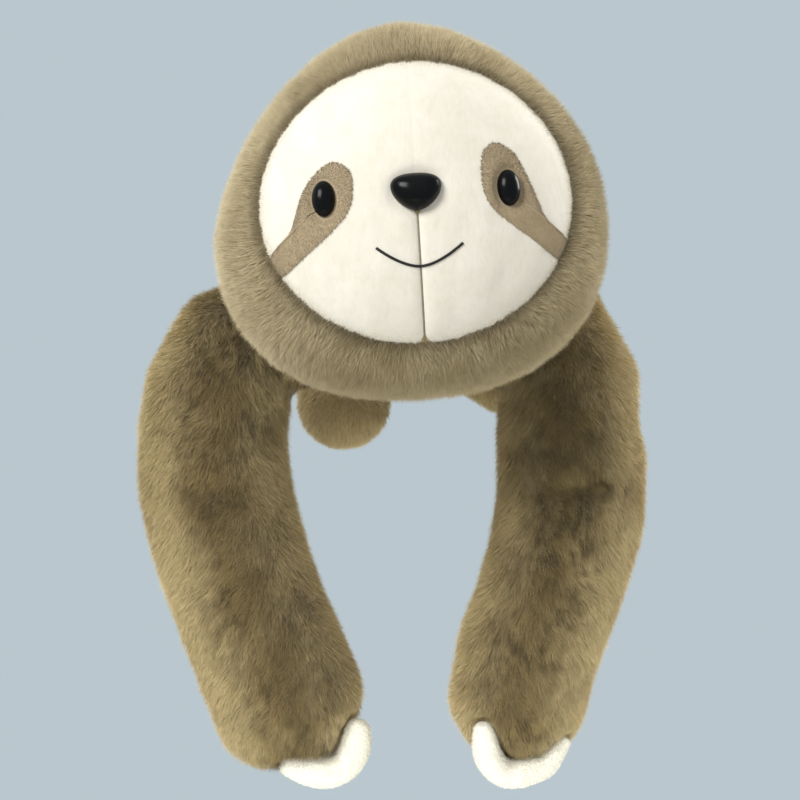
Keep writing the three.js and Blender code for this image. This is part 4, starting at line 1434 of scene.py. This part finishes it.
def past_tip(roots):
    """0 above the tip of a paw, 1 on its rounded end."""
    return np.clip((PAW_TIP - roots[:, 2]) / 0.02, 0, 1)


class SlothArmFur(bpy.types.Operator):
    """Plush fur that hangs down the arms and parts into small dark gaps, partly dye and partly painted
    shade, with painted sheen on the sides
    """

    bl_idname = "sloth.arm_fur"
    bl_label = "Arm fur"

    def execute(self, context):
        fur = context.scene.sloth_fur
        c = context.scene.sloth_colours
        for name, side in SIDES.items():
            coat = Coat(bpy.data.objects[f"{name}_arm_skin"], fur.seed + 20 + side)
            shoulder = SHOULDER[name]

            def kept(places):
                return 1.0 - ((np.abs(places[:, 0]) < 0.054) & close_to(places, shoulder, BARE_ARM))

            def lean(roots, normals):
                return (0.52 + 0.14 * value_noise(roots, 0.02, 9)) * (1 - 0.5 * past_tip(roots))

            # Dark gaps down the arm: partly dye, partly painted shade between the tufts.
            def painted_shade_marks(roots, normals):
                return dyed_and_shaded_gaps(roots, normals, side)

            def at_tip(roots):
                return np.clip((0.100 - side * roots[:, 0]) / 0.03, 0, 1) * past_tip(roots)

            line = smooth_line(CRESCENT[name], 3)

            def room(roots):
                far = np.full(len(roots), 1.0)
                for place in line:
                    far = np.minimum(far, np.linalg.norm(roots - place[:3], axis=1) - place[3])
                return np.clip(far / CLAW_ROOM, 0.25, 1)

            def pile(roots, normals):
                change = 1 - 0.2 * painted_shade_marks(roots, normals) + 0.45 * at_tip(roots)
                return fur.arm_length * change * room(roots)

            # Painted sheen and shade: the sides of the arm are painted lighter, where the fuzz catches light
            # side-on, and its band down the front and back darker.
            def lighter(roots, normals):
                return 1.3 * np.clip((from_painted_shade_band(normals, side) - 0.15) / 0.65, 0, 1) - 0.5

            shade = pile_shade(fur.seed + 9, (c.limb_root, c.limb_middle, c.limb_tip), lighter, painted_shade_marks)
            comb = one_way((side * 0.25, -0.12, -1.0))
            look = {"spacing": 0.045, "pull": 0.25, "width": 0.00065, "swirl": 0.3}
            grown = coat.grow(fur.arm_strands, pile, comb, lean, kept, shade, **look)
            claws = [bpy.data.objects[f"{name}_{claw}_plush"] for claw in ("outer_claw", "inner_claw")]
            grown = clear_of(grown, claws, 0.0008, fur.claw_depth)
            for piece in pieces_of(f"{name}_arm_fur", grown):
                finish_piece(piece, "long_plush", "Fur")
                ride_arm(piece)
        return {"FINISHED"}


class SlothBodyFur(bpy.types.Operator):
    """Fur on the body and the legs"""

    bl_idname = "sloth.body_fur"
    bl_label = "Body and leg fur"

    def execute(self, context):
        fur = context.scene.sloth_fur
        c = context.scene.sloth_colours
        colours = (c.limb_root, c.limb_middle, c.limb_tip)
        look = {"spacing": 0.04, "pull": 0.3, "width": 0.0008}
        coat = Coat(bpy.data.objects["torso_skin"], fur.seed + 50)

        def kept(places):
            from_neck = places - NECK
            ahead = -from_neck[:, 1] > 0.62 * np.linalg.norm(from_neck, axis=1)
            hidden = ahead & close_to(places, NECK, BARE_NECK)
            for name, side in SIDES.items():
                beside = (side * places[:, 0] > 0.052) & close_to(places, SHOULDER[name], BARE_SHOULDER)
                hidden |= beside | close_to(places, HIP[name], BARE_HIP)
            return 1.0 - hidden

        def pile(roots, normals):
            return np.where(roots[:, 2] < 0.012, 0.55, 1.0) * fur.body_length

        shade = pile_shade(fur.seed + 12, colours, even(0.0))
        comb = one_way((0.0, 1.0, -0.3))
        grown = coat.grow(fur.torso_strands, pile, comb, even(0.58), kept, shade, **look)
        limbs = [bpy.data.objects[f"{name}_{limb}_skin"] for name in SIDES for limb in ("arm", "leg")]
        fix_pieces("torso_fur", clear_of(grown, limbs, 0.0), "long_plush", "torso")

        for name, side in SIDES.items():
            coat = Coat(bpy.data.objects[f"{name}_leg_skin"], fur.seed + 60 + side)
            grown = coat.grow(
                fur.leg_strands,
                even(fur.body_length * 0.9),
                one_way((side * 0.2, 0.3, -1.0)),
                even(0.56),
                lambda places: np.ones(len(places)),
                # The leg's fur is painted lighter all over: painted light in place of the front light that
                # the head's shadow keeps from it.
                pile_shade(fur.seed + 14, colours, even(0.5)),
                **look,
            )
            toes = [bpy.data.objects[f"{name}_{toe}_plush"] for toe in ("outer_toe", "inner_toe")]
            grown = clear_of(grown, toes, 0.001)
            grown = clear_of(grown, [bpy.data.objects["torso_skin"]], 0.0)
            fix_pieces(f"{name}_leg_fur", grown, "long_plush", f"{name}_leg")
        return {"FINISHED"}


class SlothInside(bpy.types.Operator):
    """Finishes of the frame's own pieces: fillings, pouches, beads, washers and seams"""

    bl_idname = "sloth.inside"
    bl_label = "Inside pieces"

    def execute(self, context):
        finishes()
        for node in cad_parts.values():
            slots = [material.name.split(".")[0] for material in node.data.materials if material]
            if slots and slots[0] in FINISH_OF_SLOT:
                node.data.materials.clear()
                node.data.materials.append(bpy.data.materials[FINISH_OF_SLOT[slots[0]]])
        return {"FINISHED"}


def mix_shaders(tree, factor, first, second, out):
    """Puts out two shaders, mixed by a factor."""
    mix = tree.nodes.new("ShaderNodeMixShader")
    put(tree, mix.inputs["Fac"], factor)
    tree.links.new(first.outputs[0], mix.inputs[1])
    tree.links.new(second.outputs[0], mix.inputs[2])
    tree.links.new(mix.outputs[0], out.inputs["Surface"])


class SlothStageOperator(bpy.types.Operator):
    """Camera, lamps, floor and backdrop"""

    bl_idname = "sloth.stage"
    bl_label = "Stage"

    def execute(self, context):
        scene = context.scene
        stage = scene.sloth_stage
        camera = bpy.data.cameras.new("Camera")
        camera.sensor_width = 36
        camera.lens = 18 / (stage.span / 2 / stage.span_distance)
        camera.clip_end = 20
        holder = link("Camera", camera)
        holder.location = (stage.camera_x, stage.camera_y, stage.camera_z)
        holder.rotation_euler = (math.pi / 2, 0, 0)
        scene.camera = holder

        world = bpy.data.worlds.new("World")
        scene.world = world
        world.use_nodes = True
        tree = world.node_tree
        tree.nodes.clear()
        path = tree.nodes.new("ShaderNodeLightPath")
        shown = Sum(tree, path.outputs["Is Camera Ray"])
        for kind in ("Is Glossy Ray", "Is Transmission Ray"):
            shown = shown.maths("MAXIMUM", shown, path.outputs[kind])
        light = tree.nodes.new("ShaderNodeBackground")
        light.inputs["Color"].default_value = (1.0, 0.985, 0.95, 1)
        light.inputs["Strength"].default_value = stage.sky
        seen = tree.nodes.new("ShaderNodeBackground")
        seen.inputs["Color"].default_value = (*stage.backdrop, 1)
        mix_shaders(tree, shown, light, seen, tree.nodes.new("ShaderNodeOutputWorld"))

        bm = bmesh.new()
        bmesh.ops.create_circle(bm, cap_ends=True, segments=96, radius=stage.floor_radius)
        bmesh.ops.translate(bm, verts=bm.verts, vec=(0, 0, stage.floor))
        floor = new_object("Floor", bm)
        matt = Finish("Floor", stage.floor_colour, 0.9)
        flat = matt.node("ShaderNodeVectorMath", "Vector", {"operation": "MULTIPLY"}, Vector=matt.place())
        flat.value.node.inputs[1].default_value = (1, 1, 0)
        from_middle = matt.node("ShaderNodeVectorMath", "Value", {"operation": "LENGTH"}, Vector=flat)
        fade = from_middle.between(0.55 * stage.floor_radius, 0.99 * stage.floor_radius)
        clear = matt.tree.nodes.new("ShaderNodeBsdfTransparent")
        mix_shaders(matt.tree, fade, matt.shader, clear, matt.tree.nodes["Material Output"])
        floor.data.materials.append(matt.material)

        lamps = [
            ("Key", stage.key, 0.9, 180, (-1.2, -1.5, 1.15), (0, -0.05, 0)),
            ("Low", stage.low, 0.5, 60, (0.0, -0.7, -0.72), (0, 0, -0.36)),
            ("Rim", stage.rim, 0.9, 180, (1.5, 0.4, 0.8), (0, 0, 0)),
        ]
        for name, power, size, spread, place, target in lamps:
            lamp = bpy.data.lights.new(name, "AREA")
            lamp.energy = power
            lamp.size = size
            lamp.spread = math.radians(spread)
            lamp.color = (1.0, 0.985, 0.96)
            holder = link(name, lamp)
            holder.location = place
            aim = Vector(target) - Vector(place)
            holder.rotation_euler = aim.to_track_quat("-Z", "Y").to_euler()
        scene.view_settings.view_transform = "Standard"
        return {"FINISHED"}


class SlothPanel(bpy.types.Panel):
    """Sizes, colours and steps of the sloth"""

    bl_idname = "VIEW3D_PT_sloth"
    bl_label = "Weighted plush sloth"
    bl_space_type = "VIEW_3D"
    bl_region_type = "UI"
    bl_category = "Sloth"

    def draw(self, context):
        for pointer in GROUPS:
            group = getattr(context.scene, pointer)
            box = self.layout.box()
            box.label(text=group.bl_rna.name)
            for name in group.__annotations__:
                box.prop(group, name)
        for step in STEPS:
            self.layout.operator(step.bl_idname)


GROUPS = {
    "sloth_skin": SlothSkinSizes,
    "sloth_fur": SlothFurSizes,
    "sloth_face": SlothFaceSizes,
    "sloth_colours": SlothColours,
    "sloth_stage": SlothStage,
}
STEPS = (
    SlothSkins,
    SlothClaws,
    SlothFace,
    SlothFeatures,
    SlothHeadFur,
    SlothArmFur,
    SlothBodyFur,
    SlothInside,
    SlothStageOperator,
)


def register():
    for group in GROUPS.values():
        bpy.utils.register_class(group)
    for step in STEPS:
        bpy.utils.register_class(step)
    bpy.utils.register_class(SlothPanel)
    for name, group in GROUPS.items():
        setattr(bpy.types.Scene, name, bpy.props.PointerProperty(type=group))


def unregister():
    for name in GROUPS:
        delattr(bpy.types.Scene, name)
    bpy.utils.unregister_class(SlothPanel)
    for kind in (*reversed(STEPS), *reversed(GROUPS.values())):
        bpy.utils.unregister_class(kind)


def main():
    register()
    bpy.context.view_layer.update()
    bpy.ops.sloth.skins()
    bpy.ops.sloth.claws()
    bpy.ops.sloth.face()
    bpy.ops.sloth.features()
    bpy.ops.sloth.head_fur()
    bpy.ops.sloth.arm_fur()
    bpy.ops.sloth.body_fur()
    bpy.ops.sloth.inside()
    bpy.ops.sloth.stage()


if __name__ == "__main__":
    main()
